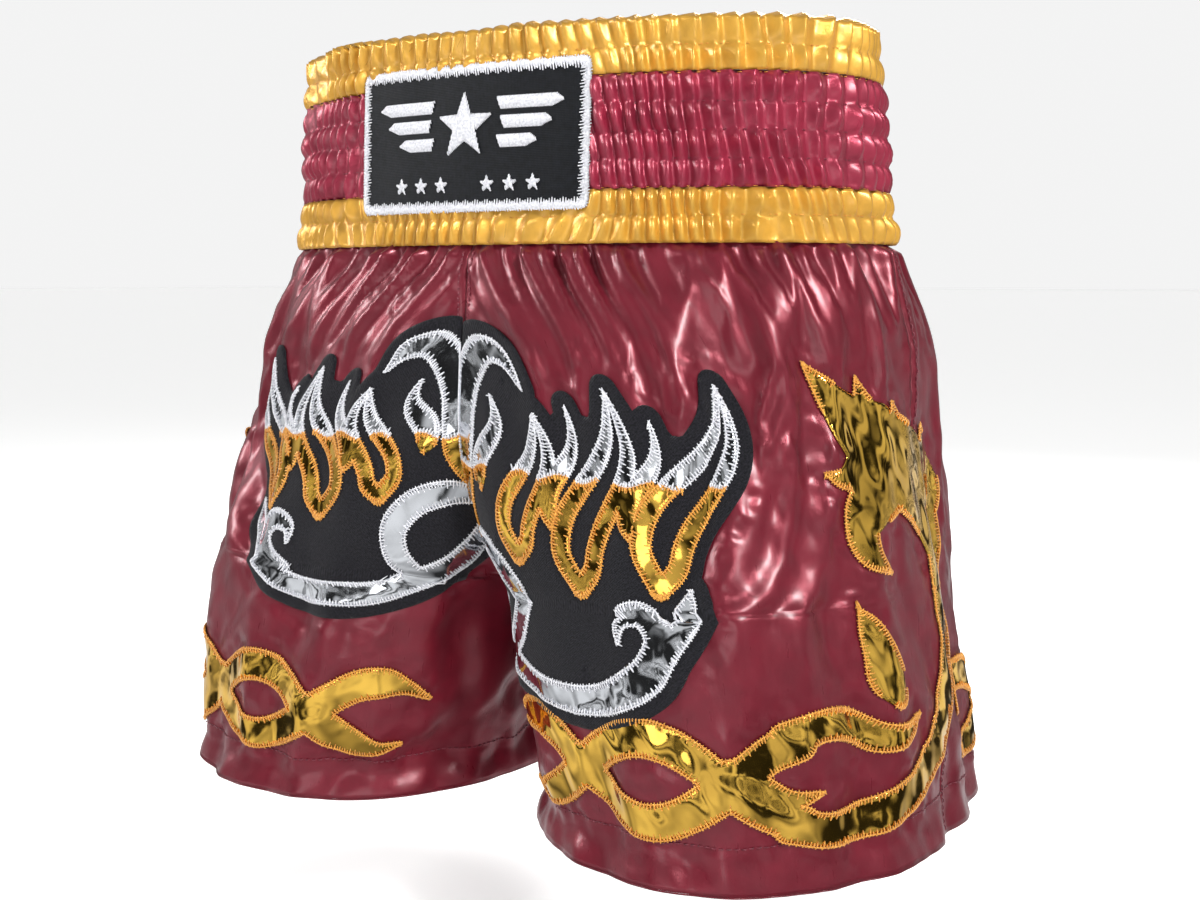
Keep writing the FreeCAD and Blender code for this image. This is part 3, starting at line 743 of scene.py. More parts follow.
def cut_out(shell, where, distance, box, cell, low, high, slot=0):
    """A flat piece where distance(along, drop) < 0, extruded between two lifts.

    A grid covers the box; points near the outline are moved onto it along the distance's
    slope, triangles wholly inside are kept, and walls close the open edges. Returns its area.
    """
    (a0, a1), (d0, d1) = box
    cols, rows = int((a1 - a0) / cell) + 2, int((d1 - d0) / cell) + 2
    along, drop = np.meshgrid(a0 + cell * np.arange(cols), d0 + cell * np.arange(rows))
    value = distance(along, drop)
    rim = np.abs(value) < 0.9 * cell
    al, dr, val = along[rim], drop[rim], value[rim]
    step = 0.1 * cell
    for _ in range(3):
        ga, gd = (gap / (2 * step) for gap in differences(distance, al, dr, step))
        size = np.hypot(ga, gd) + 1e-9
        move = np.where(np.abs(val) < 0.55 * cell, val / size ** 2, 0.0)
        al, dr = al - move * ga, dr - move * gd
        val = distance(al, dr)
    along[rim], drop[rim], value[rim] = al, dr, val
    inside = value < 0.03 * cell
    number = np.arange(rows * cols).reshape(rows, cols)
    a, b, c, d = (number[:-1, :-1], number[1:, :-1], number[1:, 1:], number[:-1, 1:])
    ok = [inside[:-1, :-1], inside[1:, :-1], inside[1:, 1:], inside[:-1, 1:]]
    whole = ok[0] & ok[1] & ok[2] & ok[3]
    triangles = [np.stack((a[whole], b[whole], c[whole]), 1), np.stack((a[whole], c[whole], d[whole]), 1)]
    for skip, (x, y, z) in enumerate(((1, 2, 3), (0, 2, 3), (0, 1, 3), (0, 1, 2))):
        corner = (a, b, c, d)
        part = ok[x] & ok[y] & ok[z] & ~ok[skip]
        triangles.append(np.stack((corner[x][part], corner[y][part], corner[z][part]), 1))
    triangles = np.concatenate(triangles)
    used = np.unique(triangles)
    renumber = np.zeros(rows * cols, dtype=int)
    renumber[used] = np.arange(len(used))
    triangles = renumber[triangles]
    al, dr = along.ravel()[used], drop.ravel()[used]
    rounding = np.clip(-value.ravel()[used] / (1.2 * MM), 0, 1) ** 0.5
    top, _ = where(al, dr, high - (high - low) * 0.6 * (1 - rounding))
    base, _ = where(al, dr, np.full(len(al), low))
    edges = np.concatenate((triangles[:, [0, 1]], triangles[:, [1, 2]], triangles[:, [2, 0]]))
    key = edges[:, 0] * len(used) + edges[:, 1]
    twin = edges[:, 1] * len(used) + edges[:, 0]
    rim = edges[~np.isin(key, twin)]
    n = len(used)
    place = np.stack((al, dr), axis=1)
    place = np.concatenate((place, place))
    faces = np.concatenate((triangles, triangles[:, ::-1] + n,
                            np.stack((rim[:, 1], rim[:, 0], rim[:, 0] + n), 1),
                            np.stack((rim[:, 1], rim[:, 0] + n, rim[:, 1] + n), 1)))
    shell.add(np.concatenate((top, base)), faces, place[faces], slot)
    one, two = (place[triangles[:, k]] - place[triangles[:, 0]] for k in (1, 2))
    return 0.5 * np.abs(one[:, 0] * two[:, 1] - one[:, 1] * two[:, 0]).sum()


def outline(strokes, spacing):
    """Points along both edges and round the ends of every stroke, evenly spaced."""
    out = []
    for rows in strokes:
        run = unit(np.gradient(rows[:, :2], axis=0))
        across = np.stack((-run[:, 1], run[:, 0]), axis=1)
        left = rows[:, :2] + across * rows[:, 2:]
        right = rows[:, :2] - across * rows[:, 2:]
        turn = np.linspace(0, np.pi, 9)[1:-1, None]
        end = (rows[-1, :2] + rows[-1, 2] * (across[-1] * np.cos(turn) + run[-1] * np.sin(turn)))
        start = (rows[0, :2] + rows[0, 2] * (-across[0] * np.cos(turn) - run[0] * np.sin(turn)))
        loop = np.concatenate((left, end, right[::-1], start, left[:1]))
        length = run_along(loop)
        out.append(points_at(loop, length, np.arange(0, length[-1], spacing)))
    return np.concatenate(out)


def threads(shell, where, path, lift, radius, slot=0):
    """Round threads: each row of path is one thread's points on the flat, lift their heights."""
    n, count = path.shape[:2]
    spots, normal = where(path[..., 0], path[..., 1], lift)
    run = unit(np.gradient(spots, axis=1))
    wide = unit(np.cross(run, normal))
    tall = np.cross(wide, run)
    turn = (2 * np.pi * (np.arange(4) + 0.5) / 4)[None, None, :, None]
    ring = wide[:, :, None] * np.cos(turn) + tall[:, :, None] * np.sin(turn)
    size = np.full(count, radius)
    size[[0, -1]] *= 0.6
    verts = spots[:, :, None] + ring * size[None, :, None, None]
    i, j = np.meshgrid(np.arange(count - 1), np.arange(4), indexing="ij")
    i, j = i.ravel(), j.ravel()
    one = np.stack((i * 4 + j, (i + 1) * 4 + j, (i + 1) * 4 + (j + 1) % 4, i * 4 + (j + 1) % 4), axis=1)
    end = 4 * (count - 1)
    one = np.concatenate((one, [[3, 2, 1, 0], [end, end + 1, end + 2, end + 3]]))
    quads = (np.arange(n)[:, None, None] * 4 * count + one[None]).reshape(-1, 4)
    flat = np.repeat(path[:, :, None], 4, 2).reshape(-1, 2)
    shell.add(verts.reshape(-1, 3), quads, flat[quads], slot)


def edge_stitches(shell, where, points, distance, lift, reach, radius, slot=0, keep=0.5,
                  along_edge=False):
    """Stitches over an edge: each arches from just outside it to a little inside, some further
    than others; with along_edge they lie end to end along it, like a cord."""
    def slope(p):
        return unit(np.stack(differences(distance, p[:, 0], p[:, 1], 0.05 * MM), axis=1))

    value = distance(points[:, 0], points[:, 1])
    points = points[np.abs(value) < keep * MM]
    points = points - slope(points) * distance(points[:, 0], points[:, 1])[:, None]
    out = slope(points)
    along = np.stack((-out[:, 1], out[:, 0]), axis=1)
    n = len(points)
    uneven = 1 + 0.18 * np.sin(np.arange(n) * 2.4) + 0.22 * np.where(np.arange(n) % 2, 1, -1)
    share = np.array([-0.35, 0.0, 0.5, 1.0])
    arch = np.array([-0.3, 0.3, 0.36, 0.0]) * MM
    slant = np.array([-0.25, 0.0, 0.2, 0.35]) * MM
    path = (points[:, None] - out[:, None] * (share[None] * reach * uneven[:, None])[..., None]
            + along[:, None] * slant[None, :, None])
    if along_edge:
        path = points[:, None] + along[:, None] * (share[None] * reach)[..., None]
        arch = np.array([0.0, 0.12, 0.12, 0.0]) * MM
    threads(shell, where, path, lift + arch, radius, slot)


def running_stitches(shell, where, line, pitch, length, lift, radius, slot=0):
    """A row of topstitches along a line on the flat: short threads with a gap between them."""
    run = run_along(line)
    start = np.arange(0, run[-1] - length, pitch)
    path = points_at(line, run, start[:, None] + np.linspace(0, length, 4)[None])
    arch = np.array([-0.35, 0.25, 0.25, -0.35]) * MM
    threads(shell, where, path, lift + arch, radius, slot)


def on_bed(side):
    """Places on the smooth cloth that the ornaments lie on."""
    return lambda along, drop, lift: surface(side).at(along, drop, lift)


def on_cloth(side):
    """Places on the cloth with its folds and puckers."""
    return lambda along, drop, lift: surface(side).at(along, drop, lift, bed=False)


# ---- materials -------------------------------------------------------------------------------
def linear(red, green, blue):
    """A colour picked from a swatch, 0 to 255 a channel, as the renderer's linear colour."""
    parts = np.array([red, green, blue]) / 255
    return tuple(np.where(parts < 0.04045, parts / 12.92, ((parts + 0.055) / 1.055) ** 2.4)) + (1.0,)


class Finish:
    """A node material. Patterns read the cloth's own map, in metres, or the object's place."""

    def __init__(self, name, on_object=False):
        self.material = bpy.data.materials.new(name)
        self.material.use_nodes = True
        self.tree = self.material.node_tree
        self.shader = self.tree.nodes["Principled BSDF"]
        if on_object:
            self.coords = self.node("TexCoord").outputs["Object"]
        else:
            uv = self.node("UVMap")
            uv.uv_map = "cloth"
            self.coords = uv.outputs["UV"]
        self.height = None

    def node(self, kind, **settings):
        """A node; settings with a capital are its inputs' values, the others its own."""
        made = self.tree.nodes.new("ShaderNode" + kind)
        for key, value in settings.items():
            if key[0].isupper():
                made.inputs[key.replace("_", " ")].default_value = value
            else:
                setattr(made, key, value)
        return made

    def link(self, start, end):
        self.tree.links.new(start, end)

    def set(self, **values):
        """Values of the shader's own inputs."""
        for key, value in values.items():
            self.shader.inputs[key.replace("_", " ")].default_value = value
        return self

    def mapped(self, **settings):
        """The coordinates, scaled or turned."""
        mapping = self.node("Mapping", **settings)
        self.link(self.coords, mapping.inputs["Vector"])
        return mapping.outputs["Vector"]

    def noise(self, scale, detail=4.0, distortion=0.0, stretch=None):
        """Cloudy noise; a stretch below 1 draws it out along that axis."""
        coords = self.mapped(Scale=stretch) if stretch else self.coords
        made = self.node("TexNoise", Scale=scale, Detail=detail, Distortion=distortion)
        self.link(coords, made.inputs["Vector"])
        return made.outputs["Fac"]

    def bands(self, pitch, direction, turn=0.0):
        """Even bands, a pitch apart in metres, across a direction."""
        coords = self.mapped(Rotation=(0, 0, turn)) if turn else self.coords
        made = self.node("TexWave", Scale=math.pi / (10 * pitch), Distortion=0.0)
        made.bands_direction = direction
        self.link(coords, made.inputs["Vector"])
        return made.outputs["Fac"]

    def colours(self, fac, *stops):
        """Base colour from a ramp over a pattern."""
        ramp = self.node("ValToRGB")
        spots = ramp.color_ramp.elements
        while len(spots) < len(stops):
            spots.new(0.5)
        for spot, (at, colour) in zip(spots, stops):
            spot.position = at
            spot.color = colour
        self.link(fac, ramp.inputs["Fac"])
        self.link(ramp.outputs["Color"], self.shader.inputs["Base Color"])
        return self

    def roughness(self, fac, low, high):
        """Roughness between two values, following a pattern."""
        change = self.node("MapRange", To_Min=low, To_Max=high, From_Min=0.3, From_Max=0.7)
        self.link(fac, change.inputs["Value"])
        self.link(change.outputs["Result"], self.shader.inputs["Roughness"])
        return self

    def bump(self, fac, distance, strength=1.0):
        """Relief from a pattern, on top of the relief already there."""
        made = self.node("Bump", Distance=distance, Strength=strength)
        self.link(fac, made.inputs["Height"])
        if self.height:
            self.link(self.height, made.inputs["Normal"])
        self.height = made.outputs["Normal"]
        self.link(self.height, self.shader.inputs["Normal"])
        return self


def satin(name, dark, light, slub):
    """Satin: close warp threads along the drop, glossy, with faint slubs and a soft crumple."""
    f = Finish(name).set(Metallic=0.35, Coat_Weight=0.45, Coat_Roughness=0.24, Sheen_Weight=0.06)
    f.shader.inputs["Coat Tint"].default_value = tuple(0.4 + 0.6 * v for v in light[:3]) + (1.0,)
    f.colours(f.noise(60, 5), (0.32, dark), (0.68, light))
    f.roughness(f.noise(400, 3, stretch=(1, 0.15, 1)), 0.27, 0.38)
    f.bump(f.bands(0.45 * MM, "X"), 0.05 * MM, 0.5)
    f.bump(f.noise(900, 2, stretch=(1, 0.1, 1)), slub, 0.7)
    return f.bump(f.noise(150, 3, 0.4), 0.40 * MM, 0.45).material


def foil(name, dark, mid, light):
    """Mirror foil on cloth: broad soft dents, smaller ones and a fine grain, with painted dark and pale
    patches in its tint that stand in for reflections of a room.
    """
    f = Finish(name).set(Metallic=1.0)
    # Painted reflection: dark and pale patches of noise in the base colour, in place of a darker and
    # brighter room mirrored in the foil.
    f.colours(f.noise(30, 2, 0.4), (0.30, dark), (0.5, mid), (0.7, light))
    f.roughness(f.noise(260, 3), 0.05, 0.11)
    f.bump(f.noise(26, 1.5, 0.6), 4.5 * MM, 0.5)
    f.bump(f.noise(120, 1, 0.8), 0.14 * MM, 0.3)
    return f.bump(f.noise(1800, 2), 0.004 * MM, 0.6).material


def thread(name, dark, light, rough=0.38, metallic=0.25):
    """Shiny sewing thread, with a fine twist along it and some strands darker than others."""
    f = Finish(name).set(Metallic=metallic, Sheen_Weight=0.2)
    f.colours(f.noise(900, 3), (0.3, dark), (0.7, light))
    f.roughness(f.noise(700, 2), rough - 0.08, rough + 0.1)
    return f.bump(f.bands(0.35 * MM, "X", 0.8), 0.06 * MM, 0.6).material


def woven(name, dark, light, pitch, rough, depth=0.12, sheen=0.3, on_object=False):
    """Plain weave: two sets of bands multiplied, with uneven yarns and matt fibres."""
    f = Finish(name, on_object)
    f.set(Sheen_Weight=sheen, Sheen_Roughness=0.5, Specular_IOR_Level=0.2)
    f.colours(f.noise(300, 6), (0.3, dark), (0.7, light))
    f.roughness(f.noise(800, 2), rough - 0.06, rough + 0.06)
    product = f.node("Math", operation="MULTIPLY")
    f.link(f.bands(pitch, "X"), product.inputs[0])
    f.link(f.bands(pitch, "Z" if on_object else "Y"), product.inputs[1])
    f.bump(product.outputs[0], depth * MM, 0.8)
    return f.bump(f.noise(1600, 3), 0.05 * MM, 0.6).material


def felt(name, dark, light):
    """Felt with a fine diagonal rib, matted fibres and lint."""
    f = Finish(name).set(Sheen_Weight=0.08, Sheen_Roughness=0.5, Specular_IOR_Level=0.2)
    f.colours(f.noise(1100, 6), (0.35, dark), (0.66, light))
    f.roughness(f.noise(500, 2), 0.82, 0.95)
    f.bump(f.bands(0.9 * MM, "X", 0.9), 0.16 * MM, 0.7)
    f.bump(f.noise(2200, 5), 0.16 * MM, 0.8)
    return f.bump(f.noise(240, 3), 0.35 * MM, 0.6).material


@functools.lru_cache(None)
def finishes():
    """Every material, made once from the colours set in the panel."""
    c = bpy.context.scene.shorts_colours
    maroon, gold, lit_maroon = tuple(c.maroon), tuple(c.gold_satin), tuple(c.lit_maroon)
    foil_gold, foil_silver = tuple(c.gold_foil), tuple(c.silver_foil)

    def shade(colour, times):
        return tuple(min(1.0, v * times) for v in colour[:3]) + (1.0,)

    return {
        "maroon_satin": satin("maroon_satin", shade(maroon, 0.86), shade(maroon, 1.16), 0.06 * MM),
        # Painted light: the middle strip is the body's maroon satin, given a lighter colour where the band
        # shows lighter.
        "lit_maroon_satin": satin("lit_maroon_satin", shade(lit_maroon, 0.8), shade(lit_maroon, 1.2), 0.08 * MM),
        "gold_satin": satin("gold_satin", shade(gold, 0.8), shade(gold, 1.15), 0.08 * MM),
        "black_felt": felt("black_felt", linear(12, 12, 15), linear(34, 33, 39)),
        # Painted reflection: each foil's darker and lighter copies make the patches that stand in for
        # mirrored surroundings.
        "gold_foil": foil("gold_foil", shade(foil_gold, 0.6), foil_gold, shade(foil_gold, 1.35)),
        "silver_foil": foil("silver_foil", shade(foil_silver, 0.7), foil_silver, shade(foil_silver, 1.2)),
        "gold_thread": thread("gold_thread", linear(196, 120, 30), linear(246, 180, 74)),
        "silver_thread": thread("silver_thread", linear(196, 197, 205), linear(246, 246, 250)),
        "maroon_thread": thread("maroon_thread", linear(90, 22, 36), linear(140, 44, 64)),
        "black_weave": woven("black_weave", linear(6, 8, 12), linear(17, 20, 26), 0.8 * MM, 0.6,
                             sheen=0.03),
        "lining_cloth": woven("lining_cloth", shade(maroon, 0.7), shade(maroon, 1.1), 0.6 * MM, 0.7),
        "elastic_webbing": woven("elastic_webbing", linear(205, 203, 196), linear(236, 234, 228),
                                 1.4 * MM, 0.75, on_object=True),
        "tag_cloth": woven("tag_cloth", linear(214, 211, 204), linear(240, 238, 232), 0.5 * MM, 0.6),
    }


# ---- the waistband -----------------------------------------------------------------------------
STITCH_ROWS = 8
CELL = BAND / STITCH_ROWS       # height between two rows of stitches
QUARTER = 290                   # columns from the front middle to a side seam
PUFF = 4.8 * MM                 # height of a gathered fold
SUNK = 2.6 * MM                 # depth of the valleys below the frame's face
BAND_LEVELS = 9                 # rings that waist_table keeps
LABEL_LOW, LABEL_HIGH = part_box("label_backing")
LABEL_TOP, LABEL_BOTTOM = -LABEL_HIGH.z, -LABEL_LOW.z
LABEL_WIDTH, LABEL_MIDDLE = 136 * MM, -4 * MM
LABEL_CORNER = 3 * MM


def waist_ring(drop, quarter=QUARTER):
    """The band's face all the way round, its outward directions and the distance round it."""
    half, _ = body_grid(drop, quarter)
    ring = np.concatenate((half, half[:, -2::-1] * [-1, 1, 1]), axis=1)
    run = round_difference(ring)
    out = unit(np.stack((run[..., 1], -run[..., 0], np.zeros(run.shape[:2])), axis=2))
    step = np.linalg.norm(np.diff(ring, axis=1), axis=2)
    around = np.concatenate((np.zeros((len(drop), 1)), np.cumsum(step, axis=1)), axis=1)
    return ring, out, around


@functools.lru_cache(None)
def waist_table():
    """The band's rings at even drops, kept for on_band to read between."""
    return waist_ring(np.linspace(0, BAND, BAND_LEVELS))


def band_length(drop):
    """Distance round the band at a drop."""
    return np.interp(drop, np.linspace(0, BAND, BAND_LEVELS), waist_table()[2][:, -1])


def from_front(offset, total):
    """Distance from the front middle the short way round: negative past half the band."""
    return np.where(offset > total / 2, offset - total, offset)


def on_band(offset, drop, lift):
    """Places on the band: offset is the distance from the front middle, positive to the left."""
    ring, out, _ = waist_table()
    row = np.asarray(drop) / BAND * (len(ring) - 1)
    col = (offset / band_length(drop)) % 1.0 * (ring.shape[1] - 1)
    normal = unit(read_grid(out, row, col))
    return read_grid(ring, row, col) + normal * np.asarray(lift)[..., None], normal


def label_shape(offset, drop, inset=0.0):
    """Signed distance to the label's rounded rectangle."""
    middle = np.array([LABEL_MIDDLE, (LABEL_TOP + LABEL_BOTTOM) / 2])
    size = np.array([LABEL_WIDTH, LABEL_BOTTOM - LABEL_TOP]) / 2 - inset
    x = np.abs(offset - middle[0]) - size[0] + LABEL_CORNER
    y = np.abs(drop - middle[1]) - size[1] + LABEL_CORNER
    outside = np.hypot(np.maximum(x, 0), np.maximum(y, 0))
    return outside + np.minimum(np.maximum(x, y), 0) - LABEL_CORNER


def puffs(offset, drop, total, seed=31):
    """Height of the gathers, 0 to 1: folds across the band, drawn in at every row of stitches.

    A fold is either pinched to a crest or rounded, and each row's folds sit a little aside
    from those above. The noise runs round a circle, so that it meets itself at the end.
    """
    turn = 2 * np.pi * offset / total
    radius = total / (2 * np.pi)
    x, y = radius * np.cos(turn), radius * np.sin(turn)
    row = drop / CELL

    def noise(scale, across, number, octaves=2):
        return ripple(x * scale + across, y * scale + across * 0.7, seed + number, octaves)

    count = np.round(total.mean() / (9.5 * MM))
    step = np.floor(np.clip(row, 0, STITCH_ROWS - 0.01))
    phase = (count * offset / total + 0.75 * noise(42, row * 0.16, 1) + 0.28 * noise(70, row * 0.7, 2)
             + 0.10 * noise(90, step * 9.7, 3))
    lean = 0.5 + 0.24 * noise(38, row * 0.3, 7)
    part = phase % 1.0
    saw = np.where(part < lean, part / lean, (1 - part) / (1 - lean))
    kind = np.clip(0.5 + 0.9 * noise(45, row * 0.5, 4), 0, 1)
    ridge = saw ** 1.5 * kind + np.sin(0.5 * np.pi * saw) ** 1.2 * (1 - kind)
    waist = np.abs(np.sin(np.pi * np.clip(row, 0, STITCH_ROWS))) ** 0.6
    belly = np.where(row < 0.5, 1.0, 0.42 + 0.58 * waist)
    loud = np.clip(1 + 0.45 * noise(60, step * 5.1, 5), 0.35, 1.5)
    height = (0.12 + 0.88 * ridge * loud) * belly + 0.05 * noise(420, row * 3, 6)
    under = np.clip(0.5 - label_shape(from_front(offset, total), drop) / (6 * MM), 0, 1)
    return height * (1 - 0.62 * under)


def strip(name, drop, lift, puffed, raised, finish, thick=0.5 * MM):
    """One gathered strip: rows given by their drop, their lift, and how much the folds move
    them outwards and upwards."""
    ring, out, around = waist_ring(drop)
    total = around[:, -1:] + np.zeros_like(around)
    depth = np.repeat(np.clip(drop, 0, BAND)[:, None], ring.shape[1], 1)
    height = puffs(around, depth, total)
    height[:, -1] = height[:, 0]
    outer = ring + out * (lift[:, None] + PUFF * height * puffed[:, None])[..., None]
    outer[..., 2] += 1.8 * MM * height * raised[:, None]
    up = np.gradient(outer, axis=0)
    normal = unit(np.cross(up, round_difference(outer)))
    shell = Shell()
    place = np.stack((around * 1.5, depth), axis=2)
    shell.sheet(outer, outer - normal * thick, place, wrap=True)
    piece = shell.dress(name, finish)
    placed(piece, [name])
    return piece


def placed(piece, nodes, leg=None):
    """Hides the frame nodes that a piece stands for, and makes it ride on the top body, or, for a leg's
    piece, bakes its place into its mesh.
    """
    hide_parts(*nodes)
    if leg is None:
        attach(piece, "shorts_top")
        return piece
    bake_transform(piece)
    return piece


def rows_between(top, bottom, per_cell=8):
    """Even drops, with per_cell of them between two rows of stitches."""
    return np.linspace(top, bottom, int(round((bottom - top) / CELL * per_cell)) + 1)


def make_strips():
    """Three strips: the top one rolls over the band's edge on a half turn, the other two are
    straight, and the lowest one lifts towards its lower edge."""
    turn = np.radians([150, 115, 80, 45, 15])
    inner = np.array([9, 5.5, 2.5]) * MM
    outer = rows_between(1.6 * MM, TOP_STRIP)
    drop = np.concatenate((inner, 1.4 * MM - 1.8 * MM * np.sin(turn), outer))
    lift = np.concatenate((np.full(3, -5.9 * MM), -SUNK - 1.75 * MM * (1 - np.cos(turn)),
                           np.full(len(outer), -SUNK)))
    outwards = np.concatenate((np.zeros(3), np.clip(np.cos(turn), 0, 1), np.ones(len(outer))))
    upwards = np.concatenate(([0, 0.2, 0.6], np.sin(turn), np.exp(-(outer - outer[0]) / (4 * MM))))
    strip("waistband_top_strip", drop, lift, outwards, upwards, "gold_satin")
    for name, top, bottom, finish, slot in (
            ("waistband_middle_strip", TOP_STRIP, BAND - BOTTOM_STRIP, "lit_maroon_satin", "maroon_satin"),
            ("waistband_bottom_strip", BAND - BOTTOM_STRIP, BAND, "gold_satin", "yellow_satin")):
        drop = rows_between(top, bottom)
        lip = np.exp(-(BAND - drop) / (2.0 * MM))
        lift = -SUNK + 1.2 * MM * lip
        strip(name, drop, lift, np.ones_like(drop), np.zeros_like(drop), finish)


def make_stitch_rows():
    """Elastic sewing: short stitches that sink between the folds, one row at each drawn-in line,
    and the row that closes the band's lower edge."""
    shell = Shell()
    for drop in [CELL * k for k in range(1, STITCH_ROWS)] + [BAND - 1.6 * MM]:
        total = band_length(drop)
        line = np.stack((np.linspace(0, total, 1200), np.full(1200, drop)), axis=1)
        under = label_shape(from_front(line[:, 0], total), line[:, 1])
        for part in np.split(line, np.flatnonzero(np.diff((under < 0).astype(int))) + 1):
            middle = part[len(part) // 2]
            if label_shape(from_front(middle[0], total), middle[1]) > 0 and len(part) > 4:
                lift = -SUNK + (0.9 if drop < BAND - 3 * MM else 1.5) * MM
                slot = 1 if TOP_STRIP + MM < drop < BAND - BOTTOM_STRIP - MM else 0
                running_stitches(shell, on_band, part, 3.1 * MM, 2.1 * MM, lift, 0.24 * MM, slot)
    piece = shell.dress("waistband_stitch_rows", "gold_thread", "maroon_thread")
    placed(piece, ["waistband_stitch_rows"])


def make_lining():
    """Lining inside the band, ruched by the same rows of stitches but more softly."""
    drop = rows_between(3 * MM, BAND - 1 * MM, 5)
    ring, out, around = waist_ring(drop, 120)
    total = around[:, -1:] + np.zeros_like(around)
    depth = np.repeat(drop[:, None], ring.shape[1], 1)
    height = puffs(around, np.maximum(depth, 0.6 * CELL), total, 77)
    height[:, -1] = height[:, 0]
    face = ring - out * (5.4 * MM + 2.2 * MM * height)[..., None]
    shell = Shell()
    shell.sheet(face + out * 0.5 * MM, face, np.stack((around * 1.4, depth), axis=2), wrap=True)
    piece = shell.dress("waistband_lining", "lining_cloth")
    placed(piece, ["waistband_lining"])


# ---- the label ---------------------------------------------------------------------------------
def polygon_distance(corners, x, y):
    """Signed distance to a closed outline: nearest edge, negative where the winding is odd."""
    shape = x.shape
    x, y = x.ravel()[:, None], y.ravel()[:, None]
    a, b = corners, np.roll(corners, -1, axis=0)
    ex, ey = (b - a).T
    wx, wy = x - a[:, 0], y - a[:, 1]
    share = np.clip((wx * ex + wy * ey) / (ex * ex + ey * ey), 0, 1)
    gap = np.hypot(wx - share * ex, wy - share * ey).min(axis=1)
    crosses = (a[:, 1] > y) != (b[:, 1] > y)
    at = a[:, 0] + (y - a[:, 1]) / np.where(ey == 0, 1e-9, ey) * ex
    inside = (crosses & (x < at)).sum(axis=1) % 2 == 1
    return np.where(inside, -gap, gap).reshape(shape)


def star(x, y, radius, waist=0.42):
    """Corners of a five-pointed star, point up."""
    turn = np.pi / 5 * np.arange(10)
    size = radius * np.where(np.arange(10) % 2, waist, 1.0)
    return np.stack((x + size * np.sin(turn), y - size * np.cos(turn)), axis=1)


def label_emblem():
    """A star between two sets of tapered bars."""
    middle, drop = LABEL_MIDDLE, 44 * MM
    shapes = [star(middle, drop + 1 * MM, 17 * MM)]
    for hand in (-1, 1):
        for start, end, y in ((19, 56, -9), (21, 50, 0), (19, 42, 9)):
            low, high = (y - 3) * MM, (y + 3) * MM
            corners = ((start, low), (end - 4, low), (end, (low + high) / 2),
                       (end - 7, high), (start + 2, high))
            shapes.append(np.array([(middle + hand * x * MM, drop + y) for x, y in corners]))
    return shapes


def fill_stitches(shell, where, shape, pitch, lift, radius, slot=0):
    """Satin stitches side by side that fill an outline, each from one edge to the other."""
    (x0, y0), (x1, y1) = shape.min(axis=0), shape.max(axis=0)
    across = np.arange(x0, x1, pitch)
    fine = np.arange(y0 - MM, y1 + MM, 0.15 * MM)
    x, y = np.meshgrid(across, fine, indexing="ij")
    inside = (polygon_distance(shape, x, y) < 0).astype(int)
    change = np.diff(np.pad(inside, ((0, 0), (1, 1))), axis=1)
    column, first = np.nonzero(change == 1)
    _, last = np.nonzero(change == -1)
    keep = (last - first) > 4
    column, first, last = column[keep], first[keep], last[keep]
    share = np.array([0.0, 0.12, 0.5, 0.88, 1.0])
    top, end = fine[first], fine[np.minimum(last, len(fine) - 1)]
    rows = top[:, None] + (end - top)[:, None] * share
    path = np.stack((np.repeat(across[column][:, None], 5, 1) + 0.4 * MM * (share - 0.5), rows), axis=2)
    arch = np.array([-0.35, 0.15, 0.35, 0.15, -0.35]) * MM
    threads(shell, where, path, lift + arch, radius, slot)


def on_label(offset, drop, lift):
    """Places on the label, which follows the gathers a little."""
    wave = 0.6 * MM * ripple(offset * 75, drop * 45, 51, 2)
    return on_band(offset, drop, lift + wave)


def make_label():
    """The backing, its border of satin stitches, the emblem and the two rows of small stars."""
    low, high = -0.7 * MM, 0.5 * MM
    w, t = LABEL_WIDTH / 2, (LABEL_BOTTOM - LABEL_TOP) / 2
    box = ((LABEL_MIDDLE - w - 2 * MM, LABEL_MIDDLE + w + 2 * MM),
           (LABEL_TOP - 2 * MM, LABEL_BOTTOM + 2 * MM))
    shell = Shell()
    cut_out(shell, on_label, label_shape, box, 1.5 * MM, low, high)
    backing = shell.dress("label_backing", "black_weave")
    placed(backing, ["label_backing"])
    shell = Shell()
    loop = np.array([(-w, -t), (w, -t), (w, t), (-w, t), (-w, -t)]) + [LABEL_MIDDLE, LABEL_TOP + t]
    run = run_along(loop)
    rim = points_at(loop, run, np.arange(0, run[-1], 0.72 * MM))
    edge_stitches(shell, on_label, rim, label_shape, high + 0.15 * MM, 3.3 * MM, 0.46 * MM, keep=3.0)
    border = shell.dress("label_border", "silver_thread")
    placed(border, ["label_border"])
    shell = Shell()
    for shape in label_emblem():
        fill_stitches(shell, on_label, shape, 0.75 * MM, high + 0.3 * MM, 0.42 * MM)
    placed(shell.dress("label_emblem", "silver_thread"), ["label_emblem"])
    shell = Shell()
    for hand in (-1, 1):
        for k in range(3):
            shape = star(LABEL_MIDDLE + hand * (14 + 13 * k) * MM, 73 * MM, 4.6 * MM)
            fill_stitches(shell, on_label, shape, 0.6 * MM, high + 0.25 * MM, 0.34 * MM)
    placed(shell.dress("label_small_stars", "silver_thread"),
           ["label_small_stars"])


